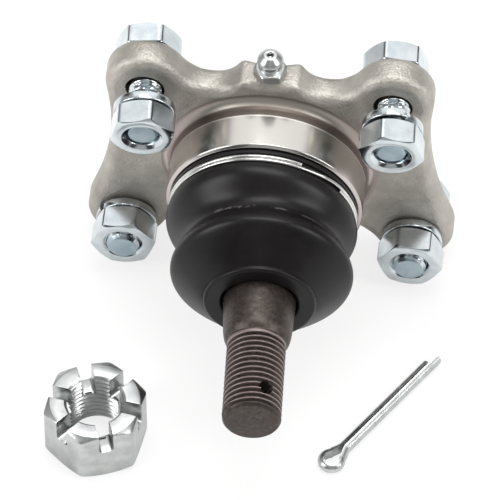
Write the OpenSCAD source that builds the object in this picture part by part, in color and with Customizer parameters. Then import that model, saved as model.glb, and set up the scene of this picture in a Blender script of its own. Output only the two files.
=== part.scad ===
// Suspension ball joint with a forged four-bolt flange, a rubber dust boot, a
// taper stud, a castle nut and a cotter pin. Sizes are in millimetres.
//
// The origin is the centre of the ball. The stud points along -Y, the grease
// fitting stands along +Z and the flange spreads along X. The loose nut and pin
// stand on the plane that the two far lugs rest on.
//
// Most pieces are turned about the stud's axis, so they are drawn with that axis
// upright, z counting from the ball's centre towards the stud's tip and y towards
// the grease fitting, and lay() then puts them in place.

/* [Ball and stud] */
// Diameter of the ball
ball_dia = 25.4; // [23:0.1:26]
// Diameter of the neck between the ball and the flare
neck_dia = 13.2; // [11:0.1:14]
// From the ball's centre to the end of the neck
neck_end = 20; // [18:0.5:24]
// Length of the flare between the neck and the taper
flare_len = 11; // [8:0.5:14]
// Largest diameter of the taper
taper_dia = 18.2; // [17:0.1:20]
// Length of the taper
taper_len = 19.2; // [16:0.1:26]
// Length in which the taper's diameter falls by one
taper_ratio = 10; // [8:1:16]
// Length of the rounded shoulder between the taper and the thread
shoulder_len = 3.7; // [2:0.1:5]
// Outside diameter of the stud's thread
thread_dia = 14; // [12:0.5:15]
// Pitch of the stud's thread
thread_pitch = 1.5; // [1:0.25:2]
// Length of the thread
thread_len = 21.5; // [18:0.5:26]
// Length of the chamfer at the stud's tip
tip_chamfer = 0.6; // [0.3:0.1:1.2]
// Diameter of the hole for the cotter pin
cotter_hole_dia = 3.5; // [3.2:0.1:4.2]
// From the stud's tip to the middle of the cotter pin's hole
cotter_hole_depth = 6.1; // [4:0.1:9]
// Turn of the cotter pin's hole about the stud, from the grease fitting
cotter_hole_turn = 29; // [0:1:90]
// Largest tilt of the stud to any side, in degrees
tilt = 22; // [15:1:23]
// How far the stud leans towards +X as it lies, in degrees
stud_lean = 2.6; // [0:0.1:4]

/* [Bearing] */
// Radial clearance between the ball and its seats
ball_clear = 0.05; // [0.03:0.01:0.1]
// Wall of the seats at their thinnest, beside the ball
seat_wall = 2.45; // [2:0.05:3]
// Radial clearance between the seats and the housing's bore
seat_clear = 0.05; // [0.03:0.01:0.1]
// From the ball's centre to the front seat's front face
front_seat_end = 6.8; // [6:0.1:7.2]
// From the ball's centre to the rear seat's rear face
rear_seat_end = 11.6; // [11:0.1:12.4]
// Gap between the two seats
seat_split = 0.8; // [0.4:0.1:1.4]
// Diameter of the hole in the middle of the rear seat
seat_hole_dia = 8; // [5:0.5:10]
// Width of the grease groove round the rear seat
groove_width = 3; // [2:0.1:4]
// Depth of the grease groove round the rear seat
groove_depth = 0.8; // [0.5:0.1:1.2]
// Thickness of the disc spring
spring_thick = 1.1; // [0.8:0.1:1.4]
// Height of the disc spring as it sits
spring_height = 2.3; // [2:0.1:3]
// Hole in the middle of the disc spring
spring_hole_dia = 15; // [12:0.5:18]

/* [Housing] */
// Thickness of the lugs
lug_thick = 8.5; // [7:0.1:11]
// Thickness of the flange between the lugs
web_thick = 7.9; // [6.8:0.1:8.4]
// From the ball's centre back to the lugs' front faces
lug_set_back = 0.5; // [0:0.1:1.5]
// Diameter of the lugs
lug_dia = 19.6; // [17:0.2:22]
// Chamfer round the lugs' faces
lug_chamfer = 1; // [0.5:0.1:1.8]
// Sideways distance of the near bolts from the middle
near_bolt_x = 29.5; // [28:0.1:33]
// Height of the near bolts above the stud's axis
near_bolt_z = 25.3; // [23:0.1:29]
// Sideways distance of the far bolts from the middle
far_bolt_x = 34.7; // [31:0.1:38]
// Depth of the far bolts below the stud's axis
far_bolt_z = 23.3; // [20:0.1:26]
// Diameter of the bolt holes
bolt_hole_dia = 9.4; // [9:0.1:10]
// Radius of the round core of the flange
core_r = 26; // [25:0.5:28]
// Radius of the hollow between a near and a far lug
side_hollow_r = 90; // [60:1:110]
// Radius of the hollow between a far lug and the core
rear_hollow_r = 10; // [8:0.5:14]
// Radius of the hollows beside the fitting's boss
rim_hollow_r = 8; // [7:0.5:9]
// Height of those hollows' floors above the stud's axis
rim_floor = 26; // [24:0.1:27]
// Height of the fitting's boss above the stud's axis
boss_top = 29.8; // [29:0.1:31]
// Radius of the turned collar
collar_r = 23.5; // [22.5:0.1:24.5]
// From the ball's centre to the end of the turned collar
collar_end = 12.2; // [11:0.1:14]
// Radius of the fillet between the collar and the flange
collar_fillet = 2.4; // [1:0.1:2.5]
// Chamfer at the end of the collar
collar_chamfer = 0.6; // [0.3:0.1:1]
// Radius of the spigot that carries the boot
spigot_r = 20.4; // [20:0.1:20.8]
// Length of the spigot
spigot_len = 5.3; // [4.5:0.1:6]
// Radius of the boss behind the flange
back_boss_r = 18.6; // [18.4:0.1:20]
// From the ball's centre to the shoulder that the cover plate lies on
cover_seat = 13.9; // [13.7:0.1:15]
// Thickness of the cover plate
cover_thick = 2.2; // [1.8:0.1:3]
// Width of the shoulder under the cover plate
cover_step = 1.4; // [1:0.1:1.6]
// Height of the lip that is rolled over the cover plate
lip_height = 1.5; // [1:0.1:2]
// Depth of the dish in the cover plate
cover_dish = 0.9; // [0.4:0.1:1.2]
// Width of the slack between the stud's neck and the housing's mouth
mouth_slack = 1.1; // [0.6:0.1:1.2]

/* [Dust boot] */
// Radius of the boot's cuff
cuff_r = 22.6; // [22:0.1:23]
// Length of the cuff, from its rim to the first fold
cuff_len = 4.4; // [4.2:0.1:4.8]
// Clearance between the cuff's rim and the collar
cuff_gap = 0.1; // [0.05:0.05:0.4]
// Radius of the first fold
fold_one_r = 22.9; // [22.6:0.1:24]
// From the ball's centre to the top of the first fold
fold_one_at = 18.2; // [17.5:0.1:20]
// Radius of the valley between the folds
valley_r = 19.2; // [18.6:0.1:21.5]
// From the ball's centre to the valley
valley_at = 26; // [25:0.1:27]
// Radius of the second fold
fold_two_r = 22; // [21.6:0.1:23.5]
// From the ball's centre to the top of the second fold
fold_two_at = 32.8; // [31.5:0.1:34]
// Radius of the raised lip round the stud
lip_r = 13.4; // [12.8:0.1:15]
// From the ball's centre to the boot's end face
boot_end_at = 41.6; // [40.5:0.1:42.5]
// Height of the raised lip above the boot's end
lip_rise = 1.3; // [0.8:0.1:1.6]
// Thickness of the boot's lip along the stud
lip_thick = 3.6; // [3.2:0.1:4]
// Thickness of the rubber
rubber_wall = 1.7; // [1.3:0.1:2]
// Clearance between the rubber lip and the stud
seal_gap = 0.15; // [0.1:0.05:0.4]
// Diameter of the wire that holds the cuff
wire_dia = 1.25; // [1:0.05:1.3]
// Distance between the two turns of the wire
wire_pitch = 1.15; // [0.9:0.05:1.2]
// From the cuff's rim to the middle of the wire's turns
wire_at = 2.9; // [2.7:0.1:3]
// Outside radius of the wire's turns
wire_out_r = 23.05; // [22.9:0.05:23.4]
// Thickness of the steel ring in the lip
end_ring_thick = 1.2; // [0.8:0.1:1.4]
// Width of the steel ring in the lip
end_ring_width = 1.8; // [1.4:0.1:2.2]

/* [Grease fitting] */
// Width of the fitting's hexagon across its flats
fitting_flats = 7; // [6.5:0.1:8]
// Height of the fitting's hexagon
fitting_hex_len = 2.4; // [2:0.1:3.5]
// Diameter of the fitting's thread
fitting_thread_dia = 6; // [5:0.1:6.3]
// Length of the fitting's thread
fitting_thread_len = 5.4; // [4.5:0.1:6.5]
// Diameter of the waist under the head
fitting_waist_dia = 4.9; // [4.6:0.1:5.2]
// Height of the waist under the head
fitting_waist_len = 1.2; // [0.8:0.1:2]
// Diameter of the head
fitting_head_dia = 6.4; // [6:0.1:6.8]
// Height of the head
fitting_head_len = 3.2; // [3:0.1:4]
// Diameter of the hole in the head's tip
fitting_mouth_dia = 1.4; // [1.2:0.05:1.5]
// Diameter of the check ball
check_ball_dia = 2; // [1.8:0.05:2.2]
// Diameter of the passage inside the fitting
fitting_bore_dia = 2.6; // [2.5:0.05:2.8]
// Travel of the check ball when grease is pushed in
check_travel = 0.8; // [0.4:0.1:1]
// Diameter of the passage from the fitting to the bearing
passage_dia = 2.8; // [2:0.1:3]

/* [Bolts, washers and nuts] */
// Diameter of the bolts
bolt_dia = 8; // [7.5:0.1:8.4]
// Width of the heads and nuts across their flats
hex_flats = 14; // [13:0.1:15]
// Height of the bolt heads
head_height = 5.5; // [4.5:0.1:6.5]
// Height of the nuts
nut_height = 6.5; // [5.5:0.1:7.5]
// Outside diameter of the spring washers
washer_dia = 14.6; // [13.5:0.1:15]
// Thickness of the spring washers' wire
washer_thick = 2.1; // [1.6:0.1:2.4]
// Rise of a slack spring washer over its one turn
washer_rise = 0.9; // [0.5:0.1:1.4]
// Narrowest gap between a near lug and its washer, as the near nuts aren't run home
near_nut_gap = 3.5; // [0:0.1:6]
// How far a near nut stands out past its bolt's end
near_bolt_short = 1; // [0:0.1:2]
// Direction in which the slack near bolts hang, from straight down towards +X
near_bolt_hang = 27; // [0:1:90]
// How far a far bolt's end stands out of its nut
far_bolt_proud = 1; // [0:0.1:2]
// Width of the countersink's rim round a nut's thread
nut_rim = 0.9; // [0.4:0.1:1.2]

/* [Castle nut] */
// Width of the castle nut across its flats
castle_flats = 22; // [20:0.5:24]
// Height of the castle nut
castle_height = 15; // [13:0.5:17]
// Width of the castle nut's slots
castle_slot_width = 3.5; // [3.2:0.1:4.4]
// Depth of the castle nut's slots
castle_slot_depth = 6; // [5:0.1:7]
// Sideways place of the castle nut
castle_x = -35.5; // [-50:0.1:-30]
// Place of the castle nut along the stud's axis
castle_y = -60; // [-80:0.1:-50]
// Turn of the castle nut, one corner's direction from +X
castle_turn = 20.4; // [0:0.1:60]

/* [Cotter pin] */
// Diameter of the cotter pin's two legs together
pin_dia = 2.9; // [2.6:0.1:3.1]
// From the middle of the eye to the tip of the long leg
pin_len = 39.5; // [30:0.5:45]
// How much shorter the other leg is
pin_leg_short = 3; // [0:0.5:5]
// Gap between the two legs
pin_leg_gap = 0.2; // [0.1:0.05:0.4]
// Inside diameter of the eye
pin_eye_dia = 2.2; // [1.8:0.1:3]
// Sideways place of the cotter pin's eye
pin_x = 21; // [10:0.1:30]
// Place of the cotter pin's eye along the stud's axis
pin_y = -62.3; // [-80:0.1:-55]
// Direction of the cotter pin's legs from +X
pin_turn = 56; // [0:1:90]

/* [Hidden] */
$fn = 96;
// The smallest overlap that joins two shapes or clears a face that is cut away
tiny = 0.01;
more = 1;

// Bearing
ball_r = ball_dia / 2;
socket_r = ball_r + ball_clear;
seat_out_r = socket_r + seat_wall;
bore_r = seat_out_r + seat_clear;
seat_lip_r = sqrt(pow(socket_r, 2) - pow(front_seat_end, 2));

// Stud
neck_r = neck_dia / 2;
taper_at = neck_end + flare_len;
taper_r = taper_dia / 2;
shoulder_at = taper_at + taper_len;
shoulder_r = taper_r - taper_len / taper_ratio / 2;
thread_r = thread_dia / 2;
thread_at = shoulder_at + shoulder_len;
tip_at = thread_at + thread_len + tip_chamfer;
neck_blend = 1.2;
cotter_hole_at = tip_at - cotter_hole_depth;
function stud_r(at) = taper_r - (at - taper_at) / taper_ratio / 2;

// Where the tilted neck's side crosses a plane in front of the ball
function swept_r(at) = (at + neck_r * sin(tilt)) * tan(tilt) + neck_r * cos(tilt);

// Housing
lug_r = lug_dia / 2;
lug_back = -lug_set_back - lug_thick;
web_front = -lug_set_back - (lug_thick - web_thick) / 2;
web_back = web_front - web_thick;
web_middle = (web_front + web_back) / 2;
spigot_end = collar_end + spigot_len;
mouth_in_r = swept_r(front_seat_end) + mouth_slack;
mouth_out_r = swept_r(spigot_end) + mouth_slack;
cover_r = bore_r + cover_step;
cover_back = cover_seat + cover_thick;
lip_end = cover_back + lip_height;
floor_z = -far_bolt_z - lug_r;
near_left = [-near_bolt_x, near_bolt_z];
near_right = [near_bolt_x, near_bolt_z];
far_left = [-far_bolt_x, -far_bolt_z];
far_right = [far_bolt_x, -far_bolt_z];

// The point at distance ra from a and rb from b, to the left of the way from a to b
function meet(a, ra, b, rb) =
    let (
        gap = norm(b - a),
        u = (b - a) / gap,
        along = (gap * gap + ra * ra - rb * rb) / (2 * gap),
        out = sqrt(max(0, ra * ra - along * along))
    )
    a + along * u + out * [-u.y, u.x];

// Centres of the hollows in the right half of the flange's outline
side_hollow = meet(near_right, lug_r + side_hollow_r, far_right, lug_r + side_hollow_r);
rear_hollow = meet(far_right, lug_r + rear_hollow_r, [0, 0], core_r + rear_hollow_r);
rim_hollow_z = rim_floor + rim_hollow_r;
rim_hollow_x = near_bolt_x
    - sqrt(pow(lug_r + rim_hollow_r, 2) - pow(rim_hollow_z - near_bolt_z, 2));

// Boot
cuff_at = collar_end + cuff_gap;
cuff_end = cuff_at + cuff_len;
wire_in_r = wire_out_r - wire_dia;
wire_groove = (wire_pitch + wire_dia) / 2 + 0.05;
wire_mid = cuff_at + wire_at;
wire_cross_turn = 35;
dome_end = boot_end_at - lip_rise;
lip_in_r = stud_r(boot_end_at - lip_thick) + seal_gap;
end_ring_at = boot_end_at - lip_thick + 0.9;
end_ring_in_r = lip_in_r + 0.6;
ring_fit = 0.08;
bend_end = (valley_at + fold_two_at) / 2;
fold_steps = 7;
boot_sides = 48;
// 1 makes the boot's end a quarter ellipse and 2 a cone
dome_power = 1.85;

// Fitting
fitting_y = boss_top;
fitting_head_at = fitting_y + fitting_hex_len + fitting_waist_len;
fitting_top = fitting_head_at + fitting_head_len;
check_ball_at = fitting_top - 0.75 - check_ball_dia / 2;
check_spring_len = 4;
check_spring_wire = 0.3;

// Fasteners
thread_fit = 0.03;
washer_height = washer_thick + washer_rise;
// A slack bolt hangs askew as far as it stays over its hole, from the middle of the
// lug to a little in front of it
hang_clear = 0.065;
hang_reach = lug_thick / 2 + 2;
hang_room = bolt_hole_dia / 2 - hang_clear;
near_tilt = acos(bolt_dia / 2 / norm([hang_room, hang_reach])) - atan(hang_reach / hang_room);
near_nut_at = web_middle + washer_height
    + (lug_thick / 2 + near_nut_gap + washer_dia / 2 * sin(near_tilt)) / cos(near_tilt);
far_nut_at = -lug_set_back + washer_height;
near_bolt_end = near_nut_at + nut_height - near_bolt_short;
far_bolt_end = far_nut_at + nut_height + far_bolt_proud;
// The tilted head rests on the lug with one corner, so its bolt stands further back
near_bolt_slide = (hex_flats / sqrt(3) * sin(near_tilt) + lug_thick / 2 * (1 - cos(near_tilt)))
    / cos(near_tilt) + thread_fit;
// Turns of each bolt's head, washer's split and nut, as they were left
near_left_turns = [6, 200, 15.7];
near_right_turns = [-12, 62, -13.8];
far_left_turns = [4, 150, 8.9];
far_right_turns = [0, 250, -7.4];

// Castle nut and pin
castle_bore_r = (thread_dia - 1.08 * thread_pitch) / 2;
castle_lead = 1.2;
castle_mouth = 0.8;
castle_slot_corner = 1;
pin_r = pin_dia / 2;

// Turns the upright drawing frame into the joint's own frame
module lay() {
    rotate([90, 0, 0])
        children();
}

// Leans a piece with the stud, about the ball's centre
module leaned() {
    rotate([0, stud_lean, 0])
        children();
}

// Puts a far fastener on its hole's axis, turned about it
module at_bolt(place, turn) {
    lay()
        translate([place.x, place.y, 0])
            rotate([0, 0, turn])
                children();
}

// Puts a near fastener on its hole's axis, turned about it, then tilts it about the
// middle of the lug, as the slack bolt hangs
module at_slack_bolt(place, turn) {
    lay()
        translate([place.x, place.y, web_middle])
            rotate(near_tilt, [cos(near_bolt_hang), sin(near_bolt_hang), 0])
                translate([0, 0, -web_middle])
                    rotate([0, 0, turn])
                        children();
}

// Housing

// The flange's outline without its lugs, from the front
module flange_outline() {
    difference() {
        union() {
            circle(core_r);
            polygon([near_left, near_right, far_right, far_left]);
            translate([-rim_hollow_x, 0])
                square([2 * rim_hollow_x, boss_top]);
            for (side = [0, 1])
                mirror([side, 0]) {
                    polygon([[rim_hollow_x, 0], near_right, [rim_hollow_x, rim_hollow_z]]);
                    polygon([near_right, far_right, side_hollow]);
                    polygon([far_right, rear_hollow, [0, 0]]);
                }
        }
        for (side = [0, 1])
            mirror([side, 0]) {
                translate([rim_hollow_x, rim_hollow_z])
                    circle(rim_hollow_r);
                translate(side_hollow)
                    circle(side_hollow_r, $fn = 240);
                translate(rear_hollow)
                    circle(rear_hollow_r);
            }
    }
}

// One lug with chamfered faces, its hole left for later
module lug() {
    rotate_extrude()
        polygon([
            [0, lug_back],
            [lug_r - lug_chamfer, lug_back],
            [lug_r, lug_back + lug_chamfer],
            [lug_r, -lug_set_back - lug_chamfer],
            [lug_r - lug_chamfer, -lug_set_back],
            [0, -lug_set_back]
        ]);
}

// The turned front of the housing: fillet, collar and spigot
module collar_form() {
    rotate_extrude()
        difference() {
            polygon([
                [0, web_middle],
                [collar_r + collar_fillet, web_middle],
                [collar_r + collar_fillet, web_front + tiny],
                [collar_r + collar_fillet, web_front + collar_fillet],
                [collar_r, web_front + collar_fillet],
                [collar_r, collar_end - collar_chamfer],
                [collar_r - collar_chamfer, collar_end],
                [spigot_r, collar_end],
                [spigot_r, spigot_end - collar_chamfer],
                [spigot_r - collar_chamfer, spigot_end],
                [0, spigot_end]
            ]);
            translate([collar_r + collar_fillet, web_front + collar_fillet])
                circle(collar_fillet);
        }
}

// The boss behind the flange, with the lip that is rolled over the cover plate
module back_boss() {
    rotate_extrude()
        polygon([
            [0, web_middle],
            [back_boss_r + 2, web_middle],
            [back_boss_r + 2, web_back],
            [back_boss_r, web_back - 2],
            [back_boss_r, -cover_seat - 0.6],
            [cover_r + 0.7, -lip_end + 0.4],
            [cover_r + 0.2, -lip_end],
            [0, -lip_end]
        ]);
}

// Everything that is bored out of the housing along the stud's axis
module housing_bores() {
    rotate_extrude()
        polygon([
            [0, -lip_end - more],
            [cover_r - 1.1, -lip_end - more],
            [cover_r - 1.1, -lip_end + 0.3],
            [cover_r - 0.6, -cover_back],
            [cover_r, -cover_back + 0.6],
            [cover_r, -cover_seat],
            [bore_r, -cover_seat],
            [bore_r, front_seat_end],
            [mouth_in_r, front_seat_end],
            [mouth_in_r, front_seat_end + 1],
            [mouth_out_r, spigot_end],
            [mouth_out_r, spigot_end + more],
            [0, spigot_end + more]
        ]);
}

module housing_forging() {
    color([0.70, 0.68, 0.64])
        lay()
            difference() {
                union() {
                    translate([0, 0, web_back])
                        linear_extrude(web_thick)
                            flange_outline();
                    for (place = [near_left, near_right, far_left, far_right])
                        translate(place)
                            lug();
                    collar_form();
                    back_boss();
                }
                housing_bores();
                for (place = [near_left, near_right, far_left, far_right])
                    translate([place.x, place.y, lug_back - more])
                        cylinder(h = lug_thick + 2 * more, d = bolt_hole_dia);
                // The fitting's tapped hole and the grease passage below it
                translate([0, boss_top + more, web_middle])
                    rotate([90, 0, 0])
                        cylinder(
                            h = fitting_thread_len + 0.6 + more,
                            d = fitting_thread_dia + 2 * thread_fit
                        );
                translate([0, boss_top, web_middle])
                    rotate([90, 0, 0])
                        cylinder(h = boss_top - ball_r, d = passage_dia);
            }
}

module cover_plate() {
    color([0.62, 0.61, 0.59])
        lay()
            rotate_extrude()
                polygon([
                    [0, -cover_seat - cover_dish],
                    [bore_r - 5.5, -cover_seat - cover_dish],
                    [bore_r - 3, -cover_seat],
                    [cover_r - thread_fit, -cover_seat],
                    [cover_r - thread_fit, -cover_back + 0.65],
                    [cover_r - 0.65, -cover_back + thread_fit],
                    [bore_r - 3.6, -cover_back + thread_fit],
                    [bore_r - 6, -cover_back - cover_dish],
                    [0, -cover_back - cover_dish]
                ]);
}

// The disc spring between the cover plate and the rear seat
module disc_spring() {
    color([0.45, 0.45, 0.47])
        lay()
            rotate_extrude()
                polygon([
                    [spring_hole_dia / 2, -rear_seat_end],
                    [spring_hole_dia / 2 + 0.3, -rear_seat_end],
                    [bore_r - 0.6, -rear_seat_end - spring_height + spring_thick],
                    [bore_r - 0.6, -rear_seat_end - spring_height],
                    [bore_r - 0.9, -rear_seat_end - spring_height],
                    [spring_hole_dia / 2, -rear_seat_end - spring_thick]
                ]);
}

// Bearing seats

module rear_ball_seat() {
    color([0.85, 0.82, 0.70])
        lay()
            difference() {
                translate([0, 0, -rear_seat_end])
                    cylinder(h = rear_seat_end - seat_split / 2, r = seat_out_r);
                sphere(r = socket_r);
                translate([0, 0, -rear_seat_end - more])
                    cylinder(h = rear_seat_end, d = seat_hole_dia);
                translate([0, 0, web_middle - groove_width / 2])
                    difference() {
                        cylinder(h = groove_width, r = seat_out_r + more);
                        translate([0, 0, -more])
                            cylinder(
                                h = groove_width + 2 * more,
                                r = seat_out_r - groove_depth
                            );
                    }
                // Four holes lead the grease from the groove to the ball
                for (turn = [0 : 90 : 270])
                    rotate([0, 0, turn])
                        translate([0, 0, web_middle])
                            rotate([-90, 0, 0])
                                cylinder(h = seat_out_r + more, d = groove_width - 1);
            }
}

module front_ball_seat() {
    color([0.85, 0.82, 0.70])
        lay()
            difference() {
                translate([0, 0, seat_split / 2])
                    cylinder(h = front_seat_end - seat_split / 2, r = seat_out_r);
                sphere(r = socket_r);
            }
}

// Stud

module ball_stud() {
    color([0.42, 0.38, 0.35])
        lay()
            leaned()
                difference() {
                    union() {
                        sphere(r = ball_r);
                        rotate_extrude()
                            polygon([
                                [0, 0],
                                [neck_r, 0],
                                [neck_r, neck_end],
                                [taper_r - neck_blend / 4, taper_at - neck_blend],
                                [taper_r, taper_at],
                                [shoulder_r, shoulder_at],
                                [(thread_r + shoulder_r) / 2, thread_at - shoulder_len / 2],
                                [thread_r, thread_at],
                                [thread_r, tip_at - tip_chamfer],
                                [thread_r - tip_chamfer, tip_at],
                                [0, tip_at]
                            ]);
                    }
                    // The flat that the rear seat's hole leaves free
                    translate([-ball_r, -ball_r, -ball_r - more])
                        cube([ball_dia, ball_dia, more + 0.5]);
                    rotate([0, 0, -cotter_hole_turn])
                        translate([0, thread_r + more, cotter_hole_at])
                            rotate([90, 0, 0])
                                cylinder(h = thread_dia + 2 * more, d = cotter_hole_dia);
                }
}

// Dust boot

// A smooth step from one radius to the next along the axis
function fold(r1, at1, r2, at2) = [
    for (i = [1 : fold_steps])
        let (part = i / fold_steps)
        [r1 + (r2 - r1) * (1 - cos(180 * part)) / 2, at1 + (at2 - at1) * part]
];

// The shoulder from the second fold in to the lip, a cone with a rounded start
function dome(r_from, r_to, at_from, at_to) = [
    for (i = [1 : fold_steps])
        let (turn = 90 * i / fold_steps)
        [
            r_to + (r_from - r_to) * pow(cos(turn), dome_power),
            at_from + (at_to - at_from) * pow(sin(turn), dome_power)
        ]
];

function boot_outside() = concat(
    [
        [cuff_r, cuff_at],
        [cuff_r, wire_mid - wire_groove],
        [wire_in_r - 0.05, wire_mid - wire_groove],
        [wire_in_r - 0.05, wire_mid + wire_groove],
        [cuff_r, wire_mid + wire_groove],
        [cuff_r, cuff_end]
    ],
    fold(cuff_r, cuff_end, fold_one_r, fold_one_at),
    fold(fold_one_r, fold_one_at, valley_r, valley_at),
    fold(valley_r, valley_at, fold_two_r, fold_two_at),
    dome(fold_two_r, lip_r, fold_two_at, dome_end),
    [
        [lip_r, boot_end_at - 0.4],
        [lip_r - 0.5, boot_end_at],
        [lip_in_r + 0.5, boot_end_at],
        [lip_in_r, boot_end_at - 0.5],
        [lip_in_r, end_ring_at + end_ring_thick + ring_fit],
        [end_ring_in_r + end_ring_width + ring_fit, end_ring_at + end_ring_thick + ring_fit],
        [end_ring_in_r + end_ring_width + ring_fit, end_ring_at - ring_fit],
        [lip_in_r, end_ring_at - ring_fit],
        [lip_in_r, boot_end_at - lip_thick]
    ]
);

// The same folds seen from inside, one wall further in
function boot_inside() = concat(
    [
        [spigot_r + ring_fit, cuff_at],
        [spigot_r + ring_fit, spigot_end - 0.2],
        [fold_one_r - rubber_wall, fold_one_at + 0.4]
    ],
    fold(fold_one_r - rubber_wall, fold_one_at + 0.4, valley_r - rubber_wall, valley_at),
    fold(valley_r - rubber_wall, valley_at, fold_two_r - rubber_wall, fold_two_at),
    dome(
        fold_two_r - rubber_wall, lip_r, fold_two_at,
        min(dome_end - rubber_wall, boot_end_at - lip_thick)
    )
);

// The share of the stud's lean that the rubber takes at a distance from the ball's
// centre: none at the cuff, all from halfway between the valley and the second fold
function bend_share(at) =
    let (part = max(0, min(1, (at - cuff_end) / (bend_end - cuff_end))))
    part * part * (3 - 2 * part);

// A point of the boot's section [radius, height], turned about the axis and bent
function bent(p, turn) =
    let (lean = stud_lean * bend_share(p[1]), x = p[0] * cos(turn))
    [x * cos(lean) + p[1] * sin(lean), p[0] * sin(turn), p[1] * cos(lean) - x * sin(lean)];

// The folded wall goes all the way round and follows the stud's lean
module dust_boot() {
    inside = boot_inside();
    section = concat(boot_outside(), [for (i = [len(inside) - 1 : -1 : 0]) inside[i]]);
    count = len(section);
    color([0.17, 0.16, 0.17])
        lay()
            polyhedron(
                points = [
                    for (i = [0 : boot_sides - 1])
                        for (p = section)
                            bent(p, 360 * i / boot_sides)
                ],
                faces = [
                    for (i = [0 : boot_sides - 1])
                        for (j = [0 : count - 1])
                            let (
                                a = i * count + j,
                                b = i * count + (j + 1) % count,
                                next = ((i + 1) % boot_sides - i) * count
                            )
                            each [[a, b, b + next], [a, b + next, a + next]]
                ]
            );
}

// One spring wire wound twice round the cuff. At one place it crosses over from its
// first turn to its second.
module boot_wire_ring() {
    mean_r = wire_out_r - wire_dia / 2;
    color([0.80, 0.80, 0.80])
        lay() {
            rotate_extrude()
                for (side = [-1, 1])
                    translate([mean_r, wire_mid + side * wire_pitch / 2])
                        circle(d = wire_dia);
            rotate([0, 0, wire_cross_turn])
                translate([mean_r, 0, wire_mid - wire_pitch / 2])
                    cylinder(h = wire_pitch, d = wire_dia);
        }
}

// The steel ring that stiffens the boot's lip
module boot_end_ring() {
    color([0.55, 0.55, 0.56])
        lay()
            leaned()
                translate([0, 0, end_ring_at])
                    difference() {
                        cylinder(h = end_ring_thick, r = end_ring_in_r + end_ring_width);
                        translate([0, 0, -more])
                            cylinder(h = end_ring_thick + 2 * more, r = end_ring_in_r);
                    }
}

// Grease fitting, drawn with its own axis upright

module at_fitting() {
    translate([0, -web_middle, 0])
        children();
}

module grease_fitting_body() {
    hex_r = fitting_flats / sqrt(3);
    waist_r = fitting_waist_dia / 2;
    head_r = fitting_head_dia / 2;
    mouth_r = fitting_mouth_dia / 2;
    bore_in_r = fitting_bore_dia / 2;
    color([0.80, 0.80, 0.78])
        at_fitting()
            difference() {
                union() {
                    translate([0, 0, fitting_y - fitting_thread_len])
                        cylinder(h = fitting_thread_len + tiny, d = fitting_thread_dia);
                    intersection() {
                        translate([0, 0, fitting_y])
                            rotate([0, 0, 8])
                                cylinder(h = fitting_hex_len, r = hex_r, $fn = 6);
                        rotate_extrude()
                            polygon([
                                [0, fitting_y],
                                [hex_r - 0.35, fitting_y],
                                [hex_r, fitting_y + 0.3],
                                [hex_r, fitting_y + fitting_hex_len - 0.3],
                                [hex_r - 0.35, fitting_y + fitting_hex_len],
                                [0, fitting_y + fitting_hex_len]
                            ]);
                    }
                    rotate_extrude()
                        polygon([
                            [0, fitting_y + fitting_hex_len - tiny],
                            [waist_r + 0.4, fitting_y + fitting_hex_len - tiny],
                            [waist_r, fitting_y + fitting_hex_len + 0.4],
                            [waist_r, fitting_head_at - 0.1],
                            [head_r - 0.2, fitting_head_at + 0.7],
                            [head_r, fitting_head_at + 1.1],
                            [head_r - 0.35, fitting_head_at + 1.8],
                            [mouth_r + 0.9, fitting_top],
                            [0, fitting_top]
                        ]);
                }
                rotate_extrude()
                    polygon([
                        [0, fitting_y - fitting_thread_len - more],
                        [bore_in_r, fitting_y - fitting_thread_len - more],
                        [bore_in_r, check_ball_at],
                        [mouth_r, check_ball_at + check_ball_dia / 2],
                        [mouth_r, fitting_top + more],
                        [0, fitting_top + more]
                    ]);
            }
}

module grease_check_ball() {
    color([0.85, 0.85, 0.86])
        at_fitting()
            translate([0, 0, check_ball_at])
                sphere(d = check_ball_dia);
}

// A solid wound about the upright axis: section points are [radius, height],
// counter-clockwise, and each later ring is turned further and raised
module wound(section, turns, rise, steps) {
    count = len(section);
    rings = [
        for (i = [0 : steps])
            for (p = section)
                let (turn = 360 * turns * i / steps)
                [p[0] * cos(turn), p[0] * sin(turn), p[1] + rise * i / steps]
    ];
    sides = [
        for (i = [0 : steps - 1])
            for (j = [0 : count - 1])
                let (
                    a = i * count + j,
                    b = i * count + (j + 1) % count
                )
                each [[a, b, b + count], [a, b + count, a + count]]
    ];
    polyhedron(
        points = rings,
        faces = concat(
            [[for (j = [count - 1 : -1 : 0]) j]],
            sides,
            [[for (j = [0 : count - 1]) steps * count + j]]
        )
    );
}

module grease_check_spring() {
    turns = 4;
    mean_r = (fitting_bore_dia - check_spring_wire) / 2 - 0.1;
    wire_r = check_spring_wire / 2;
    top = check_ball_at - check_ball_dia / 2 - 0.1 - wire_r;
    color([0.70, 0.70, 0.72])
        at_fitting()
            translate([0, 0, top - check_spring_len])
                wound(
                    [for (i = [0 : 5]) [mean_r + wire_r * cos(60 * i), wire_r * sin(60 * i)]],
                    turns, check_spring_len, 12 * turns
                );
}

// Bolts, washers and nuts, drawn about their own axis at the flange's depth

// A hexagon with its corners turned off at the low end, and at the high end too if
// both is true
module hex_block(flats, height, both) {
    corner_r = flats / sqrt(3);
    face_r = flats / 2 - 0.15;
    drop = (corner_r - face_r) * 0.58;
    intersection() {
        rotate([0, 0, 30])
            cylinder(h = height, r = corner_r, $fn = 6);
        rotate_extrude()
            polygon([
                [0, 0],
                [face_r, 0],
                [corner_r + tiny, drop],
                [corner_r + tiny, both ? height - drop : height],
                [both ? face_r : corner_r + tiny, height],
                [0, height]
            ]);
    }
}

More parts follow.
